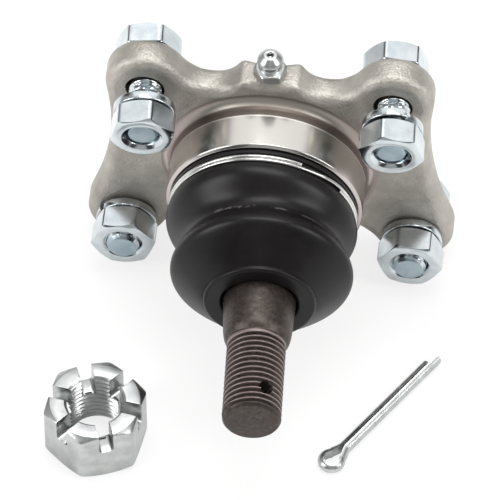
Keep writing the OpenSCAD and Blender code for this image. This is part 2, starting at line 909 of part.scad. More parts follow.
// A bolt whose head stands the given way off the lug's back
module hex_bolt(end_at, slide) {
    bolt_r = bolt_dia / 2;
    head_at = lug_back - slide;
    color([0.74, 0.77, 0.79]) {
        translate([0, 0, head_at - head_height])
            hex_block(hex_flats, head_height, false);
        rotate_extrude()
            polygon([
                [0, head_at - tiny],
                [bolt_r, head_at - tiny],
                [bolt_r, end_at - 0.8],
                [bolt_r - 0.8, end_at],
                [0, end_at]
            ]);
    }
}

module hex_nut(back_at) {
    bolt_r = bolt_dia / 2;
    color([0.80, 0.82, 0.82])
        translate([0, 0, back_at])
            difference() {
                hex_block(hex_flats, nut_height, true);
                rotate_extrude()
                    polygon([
                        [0, -more],
                        [bolt_r + nut_rim, -more],
                        [bolt_r + nut_rim, 0],
                        [bolt_r + thread_fit, nut_rim],
                        [bolt_r + thread_fit, nut_height - nut_rim],
                        [bolt_r + nut_rim, nut_height],
                        [bolt_r + nut_rim, nut_height + more],
                        [0, nut_height + more]
                    ]);
            }
}

// A split washer, slack, so that its two ends stand apart
module spring_washer(low_at) {
    in_r = bolt_dia / 2 + 0.2;
    out_r = washer_dia / 2;
    color([0.76, 0.77, 0.77])
        translate([0, 0, low_at])
            wound(
                [
                    [in_r, 0],
                    [out_r, 0],
                    [out_r, washer_thick],
                    [in_r, washer_thick]
                ],
                0.965, washer_rise, 36
            );
}

module near_left_bolt() { at_slack_bolt(near_left, near_left_turns[0]) hex_bolt(near_bolt_end, near_bolt_slide); }
module near_right_bolt() { at_slack_bolt(near_right, near_right_turns[0]) hex_bolt(near_bolt_end, near_bolt_slide); }
module far_left_bolt() { at_bolt(far_left, far_left_turns[0]) hex_bolt(far_bolt_end, 0); }
module far_right_bolt() { at_bolt(far_right, far_right_turns[0]) hex_bolt(far_bolt_end, 0); }

module near_left_washer() { at_slack_bolt(near_left, near_left_turns[1]) spring_washer(near_nut_at - washer_height); }
module near_right_washer() { at_slack_bolt(near_right, near_right_turns[1]) spring_washer(near_nut_at - washer_height); }
module far_left_washer() { at_bolt(far_left, far_left_turns[1]) spring_washer(far_nut_at - washer_height); }
module far_right_washer() { at_bolt(far_right, far_right_turns[1]) spring_washer(far_nut_at - washer_height); }

module near_left_nut() { at_slack_bolt(near_left, near_left_turns[2]) hex_nut(near_nut_at); }
module near_right_nut() { at_slack_bolt(near_right, near_right_turns[2]) hex_nut(near_nut_at); }
module far_left_nut() { at_bolt(far_left, far_left_turns[2]) hex_nut(far_nut_at); }
module far_right_nut() { at_bolt(far_right, far_right_turns[2]) hex_nut(far_nut_at); }

// Castle nut, standing on its hexagon with the slots up
module castle_nut() {
    slot_r = castle_slot_width / 2;
    corner = castle_slot_corner;
    color([0.80, 0.80, 0.79])
        translate([castle_x, castle_y, floor_z])
            difference() {
                rotate([0, 0, castle_turn - 30])
                    hex_block(castle_flats, castle_height, true);
                rotate_extrude()
                    polygon([
                        [0, -more],
                        [castle_bore_r + castle_lead, -more],
                        [castle_bore_r + castle_lead, 0],
                        [castle_bore_r, castle_lead],
                        [castle_bore_r, castle_height - castle_mouth],
                        [castle_bore_r + castle_mouth, castle_height],
                        [castle_bore_r + castle_mouth, castle_height + more],
                        [0, castle_height + more]
                    ]);
                // Each slot crosses the middle of a flat
                for (turn = [0 : 60 : 300])
                    rotate([0, 0, castle_turn + 30 + turn])
                        translate([0, 0, castle_height - castle_slot_depth])
                            rotate([90, 0, 90])
                                linear_extrude(castle_flats)
                                    union() {
                                        translate([-slot_r, corner])
                                            square([castle_slot_width, castle_slot_depth + more]);
                                        translate([corner - slot_r, 0])
                                            square([castle_slot_width - 2 * corner, castle_slot_depth]);
                                        for (side = [-1, 1])
                                            translate([side * (slot_r - corner), corner])
                                                circle(corner);
                                    }
            }
}

// Half of a round wire, its flat side along x = 0 and its back towards +X
module half_round() {
    intersection() {
        circle(pin_r);
        translate([0, -pin_dia])
            square([pin_dia, 2 * pin_dia]);
    }
}

// Cotter pin, lying flat: half-round wire folded into an eye and two legs
module cotter_pin() {
    eye_r = pin_eye_dia / 2;
    color([0.82, 0.82, 0.81])
        translate([pin_x, pin_y, floor_z + pin_r])
            rotate([0, 0, pin_turn]) {
                rotate_extrude()
                    translate([eye_r, 0])
                        half_round();
                for (side = [0, 1])
                    mirror([0, side, 0])
                        translate([eye_r, pin_leg_gap / 2, 0])
                            rotate([0, 90, 0])
                                rotate([0, 0, 90])
                                    linear_extrude(pin_len - eye_r - (1 - side) * pin_leg_short)
                                        half_round();
            }
}

housing_forging();
cover_plate();
disc_spring();
rear_ball_seat();
front_ball_seat();
ball_stud();
dust_boot();
boot_wire_ring();
boot_end_ring();
grease_fitting_body();
grease_check_ball();
grease_check_spring();
near_left_bolt();
near_left_washer();
near_left_nut();
near_right_bolt();
near_right_washer();
near_right_nut();
far_left_bolt();
far_left_washer();
far_left_nut();
far_right_bolt();
far_right_washer();
far_right_nut();
castle_nut();
cotter_pin();
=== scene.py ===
# %% [markdown]
# # A suspension ball joint, dressed for its portrait
#
# The ball joint is a forged steel flange with a turned collar, a rubber boot tied
# on with a spring wire, a dark taper stud, and the bolts, castle nut and cotter pin
# that it is fitted with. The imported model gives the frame: every piece here is put
# where its solid is, in metres, with the ball's centre at the origin and the stud
# along -Y.

import math

import bmesh
import bpy
import numpy as np
from mathutils import Matrix, Vector


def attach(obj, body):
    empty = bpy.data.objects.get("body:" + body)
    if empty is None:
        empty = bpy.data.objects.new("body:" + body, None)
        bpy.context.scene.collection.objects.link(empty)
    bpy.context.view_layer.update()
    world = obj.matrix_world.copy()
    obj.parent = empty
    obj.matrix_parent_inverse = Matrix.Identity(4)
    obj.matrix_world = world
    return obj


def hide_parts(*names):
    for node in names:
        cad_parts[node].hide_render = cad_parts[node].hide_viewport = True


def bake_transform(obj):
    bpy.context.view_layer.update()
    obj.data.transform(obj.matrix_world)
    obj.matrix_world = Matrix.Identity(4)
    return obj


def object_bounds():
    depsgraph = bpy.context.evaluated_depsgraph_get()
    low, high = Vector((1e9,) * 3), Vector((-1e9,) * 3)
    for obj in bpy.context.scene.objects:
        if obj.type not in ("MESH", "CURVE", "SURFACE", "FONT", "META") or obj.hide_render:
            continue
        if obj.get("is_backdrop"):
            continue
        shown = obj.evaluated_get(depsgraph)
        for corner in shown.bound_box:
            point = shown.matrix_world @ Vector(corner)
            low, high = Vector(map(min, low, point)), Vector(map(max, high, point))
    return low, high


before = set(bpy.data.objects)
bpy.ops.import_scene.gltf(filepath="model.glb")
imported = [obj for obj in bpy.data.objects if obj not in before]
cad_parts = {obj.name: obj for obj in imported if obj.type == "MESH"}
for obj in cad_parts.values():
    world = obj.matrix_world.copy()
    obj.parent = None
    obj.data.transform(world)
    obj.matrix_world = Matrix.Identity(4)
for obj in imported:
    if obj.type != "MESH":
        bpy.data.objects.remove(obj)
cad_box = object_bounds()
MM = 0.001

# %% [markdown]
# ## Camera
#
# The ovals of the collar, the wire ring and the nuts show how the camera stood: it
# looks down on the joint at 52.4 degrees, a little from the right, from far away, so
# the view is nearly parallel. A long lens at 1.8 m gives that. The camera aims at the
# point that the middle of the picture shows, so it needs no shift.

# %% Camera
azimuth, elevation, roll = math.radians(6.36), math.radians(52.39), math.radians(-0.67)
towards_camera = Vector((
    math.sin(azimuth) * math.cos(elevation),
    -math.cos(azimuth) * math.cos(elevation),
    math.sin(elevation),
))
level_right = Vector((math.cos(azimuth), math.sin(azimuth), 0))
level_up = towards_camera.cross(level_right)
right = math.cos(roll) * level_right + math.sin(roll) * level_up
up = math.cos(roll) * level_up - math.sin(roll) * level_right

distance, sensor_width, picture_width = 1.8, 36, 500
pixels_per_mm = 4.2
wire_ring_centre = Vector((0, -15.2 * MM, 0))
# The wire ring's centre is this far to the right of the picture's middle, and above it.
across, above = 12.68 / pixels_per_mm * MM, 33.71 / pixels_per_mm * MM
aim = wire_ring_centre - across * right - above * up

camera_data = bpy.data.cameras.new("portrait_camera")
camera_data.sensor_width = sensor_width
camera_data.lens = pixels_per_mm / MM * distance / picture_width * sensor_width
camera_data.clip_start, camera_data.clip_end = 0.1, 50
camera = bpy.data.objects.new("portrait_camera", camera_data)
bpy.context.scene.collection.objects.link(camera)
turn = Matrix((right, up, towards_camera)).transposed().to_4x4()
camera.matrix_world = Matrix.Translation(aim + distance * towards_camera) @ turn
bpy.context.scene.camera = camera
print(f"lens {camera_data.lens:.0f} mm")

# %% [markdown]
# ## Node helper and colours
# ## Node helpers and colours
#
# Colours are picked as sRGB hex values and turned to the linear numbers that
# Blender works with. One small function adds a node, sets its properties and its
# sockets, and links whatever comes from another node. The nodes that every finish
# needs have a short function each.

# %% Node helpers


def linear(hex_colour):
    """sRGB hex to linear RGBA: v is v / 12.92 low down and ((v + 0.055) / 1.055)^2.4 above."""
    v = np.array([int(hex_colour[i : i + 2], 16) for i in (1, 3, 5)]) / 255
    low, high = v / 12.92, ((v + 0.055) / 1.055) ** 2.4
    return (*np.where(v <= 0.04045, low, high), 1.0)


def add(tree, kind, inputs=None, **settings):
    """Add a node of this kind, set its properties, then set or link its sockets."""
    node = tree.nodes.new(kind)
    for key, value in settings.items():
        setattr(node, key, value)
    for key, value in (inputs or {}).items():
        if isinstance(value, bpy.types.NodeSocket):
            tree.links.new(value, node.inputs[key])
        else:
            node.inputs[key].default_value = value
    return node


def start_material(name, constants):
    """A node tree with only a Principled shader, its constants set, wired to the output."""
    material = bpy.data.materials.new(name)
    material.use_nodes = True
    tree = material.node_tree
    tree.nodes.clear()
    shader = add(tree, "ShaderNodeBsdfPrincipled", constants)
    add(tree, "ShaderNodeOutputMaterial", {"Surface": shader.outputs[0]})
    where = add(tree, "ShaderNodeTexCoord").outputs["Object"]
    return material, tree, shader, where


def link(tree, source, shader, socket):
    """Feed a socket of the shader from another node."""
    tree.links.new(source, shader.inputs[socket])


def ramp(tree, factor, stops):
    """A colour ramp from a list of (place, hex colour)."""
    node = add(tree, "ShaderNodeValToRGB", {"Fac": factor})
    ends = node.color_ramp.elements
    while len(ends) < len(stops):
        ends.new(0.5)
    for end, (place, colour) in zip(ends, stops):
        end.position = place
        end.color = linear(colour)
    return node.outputs["Color"]


def noise(tree, where, scale, detail, roughness=0.5):
    """Cloudy noise, whose scale is in clouds to the metre."""
    inputs = {"Vector": where, "Scale": scale, "Detail": detail, "Roughness": roughness}
    return add(tree, "ShaderNodeTexNoise", inputs).outputs[0]


def maths(tree, operation, *values):
    """One sum with numbers or other nodes."""
    return add(tree, "ShaderNodeMath", dict(enumerate(values)), operation=operation).outputs[0]


def remap(tree, value, low, high, start=0.0, end=1.0):
    """Carry the range from start to end over to the range from low to high."""
    inputs = {"Value": value, "From Min": start, "From Max": end, "To Min": low, "To Max": high}
    return add(tree, "ShaderNodeMapRange", inputs).outputs[0]


def overlaid(tree, share, colour, hex_colour):
    """A colour with a second one laid over it by a share."""
    inputs = {"Fac": share, "Color1": colour, "Color2": linear(hex_colour)}
    return add(tree, "ShaderNodeMixRGB", inputs).outputs[0]


def bumped(tree, shader, height, strength, depth):
    """Roughen the shader's normals by a height."""
    inputs = {"Strength": strength, "Distance": depth, "Height": height}
    link(tree, add(tree, "ShaderNodeBump", inputs).outputs[0], shader, "Normal")


# %% [markdown]
# ## Floor, light and world
#
# The joint lies on white paper under soft boxes. The paper is mostly the white of
# the page and partly a real diffuse surface, so that it keeps a faint shadow. A broad
# panel behind the joint is what the top of the collar mirrors. Grey cards at both
# sides, and two dark ones beside that panel, stand outside the picture: they give the
# turned collar and the plated hexagons something dark to reflect, as flags do in a
# studio.

# %% Floor
floor_z = cad_box[0][2]
white = {"Base Color": linear("#f4f4f3"), "Roughness": 0.9}
paper, tree, shader, where = start_material("white_paper", white)
ray = add(tree, "ShaderNodeLightPath").outputs
mirrored = maths(tree, "MULTIPLY", ray["Is Glossy Ray"], 0.25)
share = maths(tree, "MULTIPLY_ADD", ray["Is Camera Ray"], 0.78, mirrored)
page = add(tree, "ShaderNodeEmission", {"Color": (1, 1, 1, 1), "Strength": 1.0})
mix = add(tree, "ShaderNodeMixShader", {0: share, 1: shader.outputs[0], 2: page.outputs[0]})
tree.links.new(mix.outputs[0], tree.nodes["Material Output"].inputs["Surface"])

bpy.ops.mesh.primitive_plane_add(size=12, location=(0, 0, floor_z - 0.00002))
floor = bpy.context.object
floor.name = "paper_floor"
floor.data.materials.append(paper)
floor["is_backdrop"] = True
print(f"floor at {floor_z / MM:.1f} mm")

# %% Lamps, cards and world
joint_middle = Vector((0, -0.02, 0))


def facing(place, axis):
    """The turn that points an object's axis from its place at the joint."""
    return (joint_middle - Vector(place)).to_track_quat(axis, "Y").to_euler()


def soft_box(name, place, size, watts):
    """A rectangular area lamp that faces the joint."""
    lamp = bpy.data.lights.new(name, "AREA")
    lamp.shape = "RECTANGLE"
    lamp.size, lamp.size_y = size
    lamp.energy = watts
    holder = bpy.data.objects.new(name, lamp)
    bpy.context.scene.collection.objects.link(holder)
    holder.location = place
    holder.rotation_euler = facing(place, "-Z")


def card(name, centre, size, shade):
    """A grey card that faces the joint, kept out of the camera's rays."""
    grey = {"Base Color": linear(shade), "Roughness": 1.0}
    material, tree, shader, where = start_material(name + "_card", grey)
    bpy.ops.mesh.primitive_plane_add(size=1, location=centre)
    plane = bpy.context.object
    plane.name = name
    plane.scale = (*size, 1)
    plane.rotation_euler = facing(centre, "Z")
    plane.data.materials.append(material)
    plane.visible_camera = False
    plane.visible_shadow = False
    plane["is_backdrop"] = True


soft_box("overhead_box", (0.05, 0.12, 0.9), (0.7, 0.45), 6)
soft_box("back_panel", (0.0, 0.72, 0.86), (1.6, 0.72), 3.0)
soft_box("left_box", (-0.7, -0.35, 0.45), (0.25, 0.6), 4)
soft_box("right_box", (0.75, -0.25, 0.5), (0.2, 0.6), 3.5)
card("left_flag", (-0.45, -0.75, 0.35), (0.35, 0.9), "#262626")
card("right_flag", (0.5, -0.7, 0.3), (0.3, 0.9), "#303030")
card("left_back_flag", (-0.82, 0.6, 0.34), (0.2, 0.4), "#202220")
card("right_back_flag", (0.85, 0.6, 0.34), (0.24, 0.4), "#202220")

# The camera sees a white sky; the joint is lit by one that is half as bright.
world = bpy.data.worlds.new("studio")
bpy.context.scene.world = world
world.use_nodes = True
tree = world.node_tree
tree.nodes.clear()
ray = add(tree, "ShaderNodeLightPath").outputs
seen = maths(tree, "MAXIMUM", ray["Is Camera Ray"], ray["Is Transmission Ray"])
strength = remap(tree, seen, 0.48, 1.0)
sky = add(tree, "ShaderNodeBackground", {"Color": (1, 1, 1, 1), "Strength": strength})
add(tree, "ShaderNodeOutputWorld", {"Surface": sky.outputs[0]})
bpy.context.scene.view_settings.view_transform = "Standard"
print(len(bpy.data.lights), "lamps")

# %% [markdown]
# ## Materials
#
# Steel is one metal with many finishes here: shot-blasted, turned, phosphated,
# zinc-plated and drawn to wire. Each starts from a metal with the right colour and
# roughness, and gets the grain that its making leaves, at its real size.

# %% Shot-blasted forging
# Tumbled with steel shot: a warm light grey, matt, with a fine sparkle of dents
# about 0.3 mm wide and broad cloudy patches from the forge scale.
blasted, tree, shader, where = start_material("shot_blasted_forging", {"Metallic": 0.85})
clouds = noise(tree, where, 90, 4, 0.6)
colour = ramp(tree, clouds, [(0.30, "#96928b"), (0.52, "#aca8a1"), (0.72, "#c0bcb5")])
link(tree, colour, shader, "Base Color")
dents_and_lumps = maths(tree, "ADD", noise(tree, where, 1700, 2), noise(tree, where, 330, 2))
bumped(tree, shader, dents_and_lumps, 0.6, 0.0003)
link(tree, remap(tree, clouds, 0.42, 0.6), shader, "Roughness")

# %% Turned collar
# Cut on a lathe: bright, with feed lines that run round the collar, so reflections
# stay crisp across the lines and smear along the stud. The foot was left by the round
# nose of the tool: it is duller and darker up to a thin bright line 3.3 mm from the
# flange, and a faint pink bloom lies over both sides of the collar.
turned, tree, shader, where = start_material("turned_steel", {"Metallic": 1.0})
place = add(tree, "ShaderNodeSeparateXYZ", {0: where}).outputs
depth = remap(tree, place["Y"], 0.0, 1.0, 0.0, -0.012)
tone = ramp(tree, depth, [
    (0.035, "#a39d95"), (0.06, "#655c57"), (0.25, "#716964"),
    (0.265, "#ece8e5"), (0.282, "#ece8e5"), (0.297, "#c6c3be"),
])
bloom = remap(tree, maths(tree, "ABSOLUTE", place["X"]), 0.0, 0.45, 0.013, 0.023)
link(tree, overlaid(tree, bloom, tone, "#9c8a8a"), shader, "Base Color")
link(tree, remap(tree, depth, 0.46, 0.2, 0.25, 0.3), shader, "Roughness")
feed = add(
    tree, "ShaderNodeTexNoise",
    {"W": place["Y"], "Scale": 5200.0, "Detail": 2.0}, noise_dimensions="1D",
)
bumped(tree, shader, feed.outputs[0], 0.12, 0.00005)

# %% Phosphated stud
# Zinc phosphate and oil: dark brown-grey, dull, and painted a little lighter on the
# thread's crests, partly where handling has rubbed it and partly as a painted highlight.
dull = {"Metallic": 0.75, "Roughness": 0.42}
phosphate, tree, shader, where = start_material("phosphated_steel", dull)
spots = noise(tree, where, 900, 5, 0.65)
colour = ramp(tree, spots, [(0.3, "#332d2a"), (0.55, "#453e3a"), (0.8, "#5d544f")])
# Lighter crests: partly rub marks, partly a painted highlight.
crest = add(tree, "ShaderNodeAttribute", attribute_name="crest").outputs["Fac"]
link(tree, overlaid(tree, crest, colour, "#867976"), shader, "Base Color")
bumped(tree, shader, spots, 0.12, 0.0001)

# %% Zinc plating, blue and bright
# Clear-passivated zinc on the bolts is glossy with a cold blue cast. The castle
# nut, the pin and the grease fitting have a paler, softer zinc.


def zinc(name, colour, roughness, cloud):
    """Zinc plate: a light metal with faint clouds from the bath, a few millimetres wide."""
    material, tree, shader, where = start_material(name, {"Metallic": 1.0})
    patch = noise(tree, where, 260, 3)
    link(tree, ramp(tree, patch, [(0.35, cloud), (0.65, colour)]), shader, "Base Color")
    link(tree, remap(tree, patch, roughness * 0.8, roughness * 1.25), shader, "Roughness")
    bumped(tree, shader, noise(tree, where, 1500, 2), 0.06, 0.0001)
    return material


blue_zinc = zinc("blue_white_zinc", "#cdd3d6", 0.17, "#bcc4c8")
bolt_end_zinc = zinc("blue_zinc_bolt_end", "#a8b6bd", 0.3, "#96a6ae")
soft_zinc = zinc("bright_soft_zinc", "#bfc1c0", 0.3, "#a9abab")
bright_wire = zinc("drawn_spring_wire", "#cfcfcd", 0.2, "#bdbdbb")

# %% Rubber boot
# Moulded chloroprene rubber: near black with a satin skin, faintly clouded, with broken
# pale marks along the crease between the folds, partly rub marks and partly a painted highlight of
# the crease.
satin = {"Roughness": 0.35, "Specular IOR Level": 0.21}
rubber, tree, shader, where = start_material("satin_rubber", satin)
base = ramp(tree, noise(tree, where, 150, 6, 0.7), [(0.35, "#0d0b0c"), (0.7, "#171415")])
# Pale marks painted along the crease: partly scuffs, partly a painted highlight of the valley.
crease_depth, scuff_and_highlight_share = 0.0272, 0.42
place = add(tree, "ShaderNodeSeparateXYZ", {0: where}).outputs
off_crease = maths(tree, "ABSOLUTE", maths(tree, "ADD", place["Y"], crease_depth))
reach = remap(tree, noise(tree, where, 420, 5, 0.75), -0.0003, 0.001, 0.45, 0.72)
scuffs_and_painted_highlight = maths(tree, "MULTIPLY", maths(tree, "LESS_THAN", off_crease, reach), scuff_and_highlight_share)
link(tree, overlaid(tree, scuffs_and_painted_highlight, base, "#706b6c"), shader, "Base Color")
bumped(tree, shader, noise(tree, where, 1400, 2), 0.08, 0.0001)

# %% Inner pieces
# Pressed plate, spring steel and the cream-coloured acetal of the seats.
pressed = {"Metallic": 0.9, "Roughness": 0.36}
plate, tree, shader, where = start_material("pressed_plate_steel", pressed)
rolled = ramp(tree, noise(tree, where, 700, 3), [(0.3, "#8f8c87"), (0.7, "#a9a6a1")])
link(tree, rolled, shader, "Base Color")
acetal, tree, shader, where = start_material("moulded_acetal", {"Roughness": 0.3})
haze = ramp(tree, noise(tree, where, 300, 2), [(0.3, "#e2dcc6"), (0.7, "#ebe6d4")])
link(tree, haze, shader, "Base Color")
for node, material in {
    "disc_spring": plate, "boot_end_ring": plate, "rear_ball_seat": acetal,
    "front_ball_seat": acetal, "grease_check_spring": bright_wire, "grease_check_ball": bright_wire,
}.items():
    for slot in bpy.data.objects[node].material_slots:
        slot.material = material
print(len(bpy.data.materials), "materials")

# %% [markdown]
# ## Mesh helpers
#
# Most pieces are surfaces on a grid: rows follow a profile and columns go round an
# axis. The grid's corners are worked out as whole arrays, in millimetres, with z as
# the depth along the stud. One function puts them into the joint's frame, one makes
# the faces, and one makes the object.

# %% Grid helpers
stud_lean = math.radians(2.6)
lean_matrix = Matrix.Rotation(stud_lean, 4, "Z")


def unit(v):
    """Each vector over its length."""
    return v / np.linalg.norm(v, axis=-1, keepdims=True)


def in_frame(p):
    """Drawing (x, y, depth) in mm to the joint's frame in metres: (x, -depth, y)."""
    return np.stack([p[..., 0], -p[..., 2], p[..., 1]], -1) * MM


def grid_faces(rows, columns, loop_rows=False, start=0):
    """Quads of a grid whose corner (i, j) has number start + i * columns + j."""
    i = np.arange(rows if loop_rows else rows - 1)[:, None]
    j = np.arange(columns)[None, :]
    i2, j2 = (i + 1) % rows, (j + 1) % columns
    quads = [i * columns + j, i * columns + j2, i2 * columns + j2, i2 * columns + j]
    return (np.stack(quads, -1).reshape(-1, 4) + start).tolist()


def tube_faces(rows, columns):
    """Faces of a row of rings that has a cap at either end."""
    last = (rows - 1) * columns
    caps = [list(range(columns))[::-1], list(range(last, last + columns))]
    return grid_faces(rows, columns) + caps


def piece(name, points, faces, material, sharp=35, merge=1e-7):
    """Make a mesh object, merge its seams and poles, and turn its faces outwards."""
    mesh = bpy.data.meshes.new(name)
    mesh.from_pydata(points.reshape(-1, 3).tolist(), [], faces)
    work = bmesh.new()
    work.from_mesh(mesh)
    if merge:
        bmesh.ops.remove_doubles(work, verts=work.verts, dist=merge)
    bmesh.ops.recalc_face_normals(work, faces=work.faces)
    work.to_mesh(mesh)
    work.free()
    mesh.shade_smooth()
    mesh.set_sharp_from_angle(angle=math.radians(sharp))
    mesh.materials.append(material)
    obj = bpy.data.objects.new(name, mesh)
    bpy.context.scene.collection.objects.link(obj)
    return obj


def grid_piece(name, rows, material, sharp=35, closed=True):
    """A piece from a grid that goes round, and, if closed, from its last row to its first."""
    return piece(name, rows, grid_faces(len(rows), rows.shape[1], closed), material, sharp)


def rounded(profile, radii, steps=5):
    """Replace each corner of a profile by a curve: the point a(1-t)^2 + 2bt(1-t) + ct^2
    runs from a on one side of corner b to c on the other, both radius away from it."""
    profile = np.array(profile, float)
    radii = np.broadcast_to(radii, len(profile))
    out = [profile[:1]]
    t = np.linspace(0, 1, steps + 1)[:, None]
    for k in range(1, len(profile) - 1):
        b = profile[k]
        before, after = profile[k - 1] - b, profile[k + 1] - b
        reach = min(radii[k], np.linalg.norm(before) / 2.01, np.linalg.norm(after) / 2.01)
        a = b + before / np.linalg.norm(before) * reach
        c = b + after / np.linalg.norm(after) * reach
        out.append(a * (1 - t) ** 2 + 2 * b * t * (1 - t) + c * t**2)
    out.append(profile[-1:])
    return np.concatenate(out)


def revolved(profile, columns):
    """Points (r cos a, r sin a, z) for each profile point (r, z) and each angle a."""
    a = np.linspace(0, 2 * np.pi, columns, endpoint=False)[None, :]
    r, z = profile[:, :1], profile[:, 1:]
    return np.stack([r * np.cos(a), r * np.sin(a), z + 0 * a], -1)


def turned_piece(name, profile, material, columns=160, closed=False, sharp=35):
    """A piece turned about the collar's axis."""
    rows = in_frame(revolved(np.array(profile, float), columns))
    return grid_piece(name, rows, material, sharp, closed)


def keep_shape(obj):
    """Bake an object's modifiers into its mesh."""
    bpy.context.view_layer.update()
    shaped = obj.evaluated_get(bpy.context.evaluated_depsgraph_get())
    shaped = bpy.data.meshes.new_from_object(shaped)
    obj.modifiers.clear()
    obj.data = shaped


def cut(obj, cutter):
    """Take the cutter's space out of an object and throw the cutter away."""
    knife = obj.modifiers.new("cut", "BOOLEAN")
    knife.operation, knife.solver, knife.object = "DIFFERENCE", "EXACT", cutter
    keep_shape(obj)
    bpy.data.objects.remove(cutter)


# %% [markdown]
# ## The forged flange
#
# The flange is a plate with four lugs, hollows between them and a small boss for
# the grease fitting. Its outline is a chain of arcs that touch one another, the
# same as the solid's. The surface is one closed grid: it starts at the collar, runs
# out over the front face, rolls over the edge with the draft of a forging die, and
# comes back over the rear face. Around each bolt the plate grows a little thicker,
# which is the spot that the die leaves proud.

# %% Outline of the flange
lug_radius, edge_radius = 9.8, 2.4
near, far = np.array([29.5, 25.3]), np.array([34.7, -23.3])
rim_floor, boss_top, core_radius = 26.0, 29.8, 26
rim_curve, side_curve, rear_curve = 8, 90, 10
lug_places = [near * [-1, 1], near, far * [-1, 1], far]
plate_middle, plate_half = -4.75, 3.95


def touching(a, ra, b, rb):
    """The point ra from a and rb from b, left of the way from a to b, by the cosine rule."""
    gap = np.linalg.norm(b - a)
    u = (b - a) / gap
    along = (gap**2 + ra**2 - rb**2) / (2 * gap)
    out = math.sqrt(max(0, ra**2 - along**2))
    return a + along * u + out * np.array([-u[1], u[0]])


def arc(centre, radius, start, end, spacing=0.3):
    """Points centre + radius (cos a, sin a) from start's direction to end's, the short way."""
    a0 = math.atan2(*(np.subtract(start, centre)[::-1]))
    a1 = math.atan2(*(np.subtract(end, centre)[::-1]))
    a1 = a0 + (a1 - a0 + math.pi) % (2 * math.pi) - math.pi
    a = np.linspace(a0, a1, max(4, int(abs(a1 - a0) * radius / spacing)))
    return np.stack([centre[0] + radius * np.cos(a), centre[1] + radius * np.sin(a)], -1)


def towards(a, b, reach):
    """The point that lies a given reach from a on the way to b."""
    return a + (b - a) / np.linalg.norm(b - a) * reach


core = np.zeros(2)
rim_level = rim_floor + rim_curve
rim_run = math.sqrt((lug_radius + rim_curve) ** 2 - (rim_level - near[1]) ** 2)
rim_hollow = np.array([near[0] - rim_run, rim_level])
side_hollow = touching(near, lug_radius + side_curve, far, lug_radius + side_curve)
rear_hollow = touching(far, lug_radius + rear_curve, core, core_radius + rear_curve)
boss_half = rim_hollow[0] - math.sqrt(rim_curve**2 - (rim_hollow[1] - boss_top) ** 2)
boss_edge = np.array([boss_half, boss_top])
near_in = towards(near, rim_hollow, lug_radius)
near_out = towards(near, side_hollow, lug_radius)
far_out = towards(far, side_hollow, lug_radius)
far_in = towards(far, rear_hollow, lug_radius)
core_touch = towards(core, rear_hollow, core_radius)
tip_way = np.array([0.72, 0.694])
near_tip = near + lug_radius * tip_way
far_tip = far + lug_radius * tip_way * [1, -1]
right_half = np.concatenate([
    np.stack([np.linspace(0, boss_edge[0], 20), np.full(20, boss_top)], -1),
    arc(rim_hollow, rim_curve, boss_edge, near_in),
    arc(near, lug_radius, near_in, near_tip),
    arc(near, lug_radius, near_tip, near_out),
    arc(side_hollow, side_curve, near_out, far_out),
    arc(far, lug_radius, far_out, far_tip),
    arc(far, lug_radius, far_tip, far_in),
    arc(rear_hollow, rear_curve, far_in, core_touch),
    arc(core, core_radius, core_touch, (0, -core_radius)),
])
outline = np.concatenate([right_half, right_half[-2:0:-1] * [-1, 1], right_half[:1]])


def even_steps(curve, count, endpoint=False):
    """Count points at equal steps along a curve, with or without its end."""
    step = np.linalg.norm(np.diff(curve, axis=0), axis=1)
    curve = curve[np.concatenate([[True], step > 1e-6])]
    along = np.concatenate([[0], np.cumsum(step[step > 1e-6])])
    s = np.linspace(0, along[-1], count, endpoint=endpoint)
    return np.stack([np.interp(s, along, curve[:, k]) for k in (0, 1)], -1)


def softened(curve, sigma):
    """A closed curve averaged with its neighbours by a bell curve, sigma points wide."""
    k = np.arange(-int(4 * sigma), int(4 * sigma) + 1)
    weight = np.exp(-0.5 * (k / sigma) ** 2)
    weight /= weight.sum()
    return sum(w * np.roll(curve, s, axis=0) for w, s in zip(weight, k))


outline = softened(even_steps(outline, 840), 2.2)
width, height = np.ptp(outline, axis=0)
print(f"flange outline: {len(outline)} points, {width:.1f} x {height:.1f} mm")

# %% Skin of the flange


def smooth_step(low, high, v):
    """0 below low, 1 above high, and 3t^2 - 2t^3 in between."""
    t = np.clip((v - low) / (high - low), 0, 1)
    return t * t * (3 - 2 * t)


def proud(p):
    """How far the plate swells round each bolt: 0.3 mm, fading from 9 to 12.5 mm away."""
    near_lug = np.min([np.linalg.norm(p - place, axis=-1) for place in lug_places], axis=0)
    return 0.3 * (1 - smooth_step(9.0, 12.5, near_lug))


def relaxed(grid, steps=800):
    """Even out a flat grid between its first and last row, for a fixed number of steps, to undo
    cells that are folded over.

    Each inner point moves to the place where the grid's two counters would be harmonic:
    a (left + right) + g (above + below) - b / 2 times the corners' difference, all over
    2 (a + g), with a, b and g from the slopes across and along the rows."""
    x = grid.copy()
    for _ in range(steps):
        left, right = np.roll(x, 1, axis=1), np.roll(x, -1, axis=1)
        along, over = (right - left)[1:-1] / 2, (x[2:] - x[:-2]) / 2
        a = (over**2).sum(-1, keepdims=True)
        b = (along * over).sum(-1, keepdims=True)
        g = (along**2).sum(-1, keepdims=True)
        corners = right[2:] - right[:-2] - left[2:] + left[:-2]
        pull = a * (left + right)[1:-1] + g * (x[2:] + x[:-2]) - b * corners / 2
        x[1:-1] = pull / (2 * (a + g))
    return x


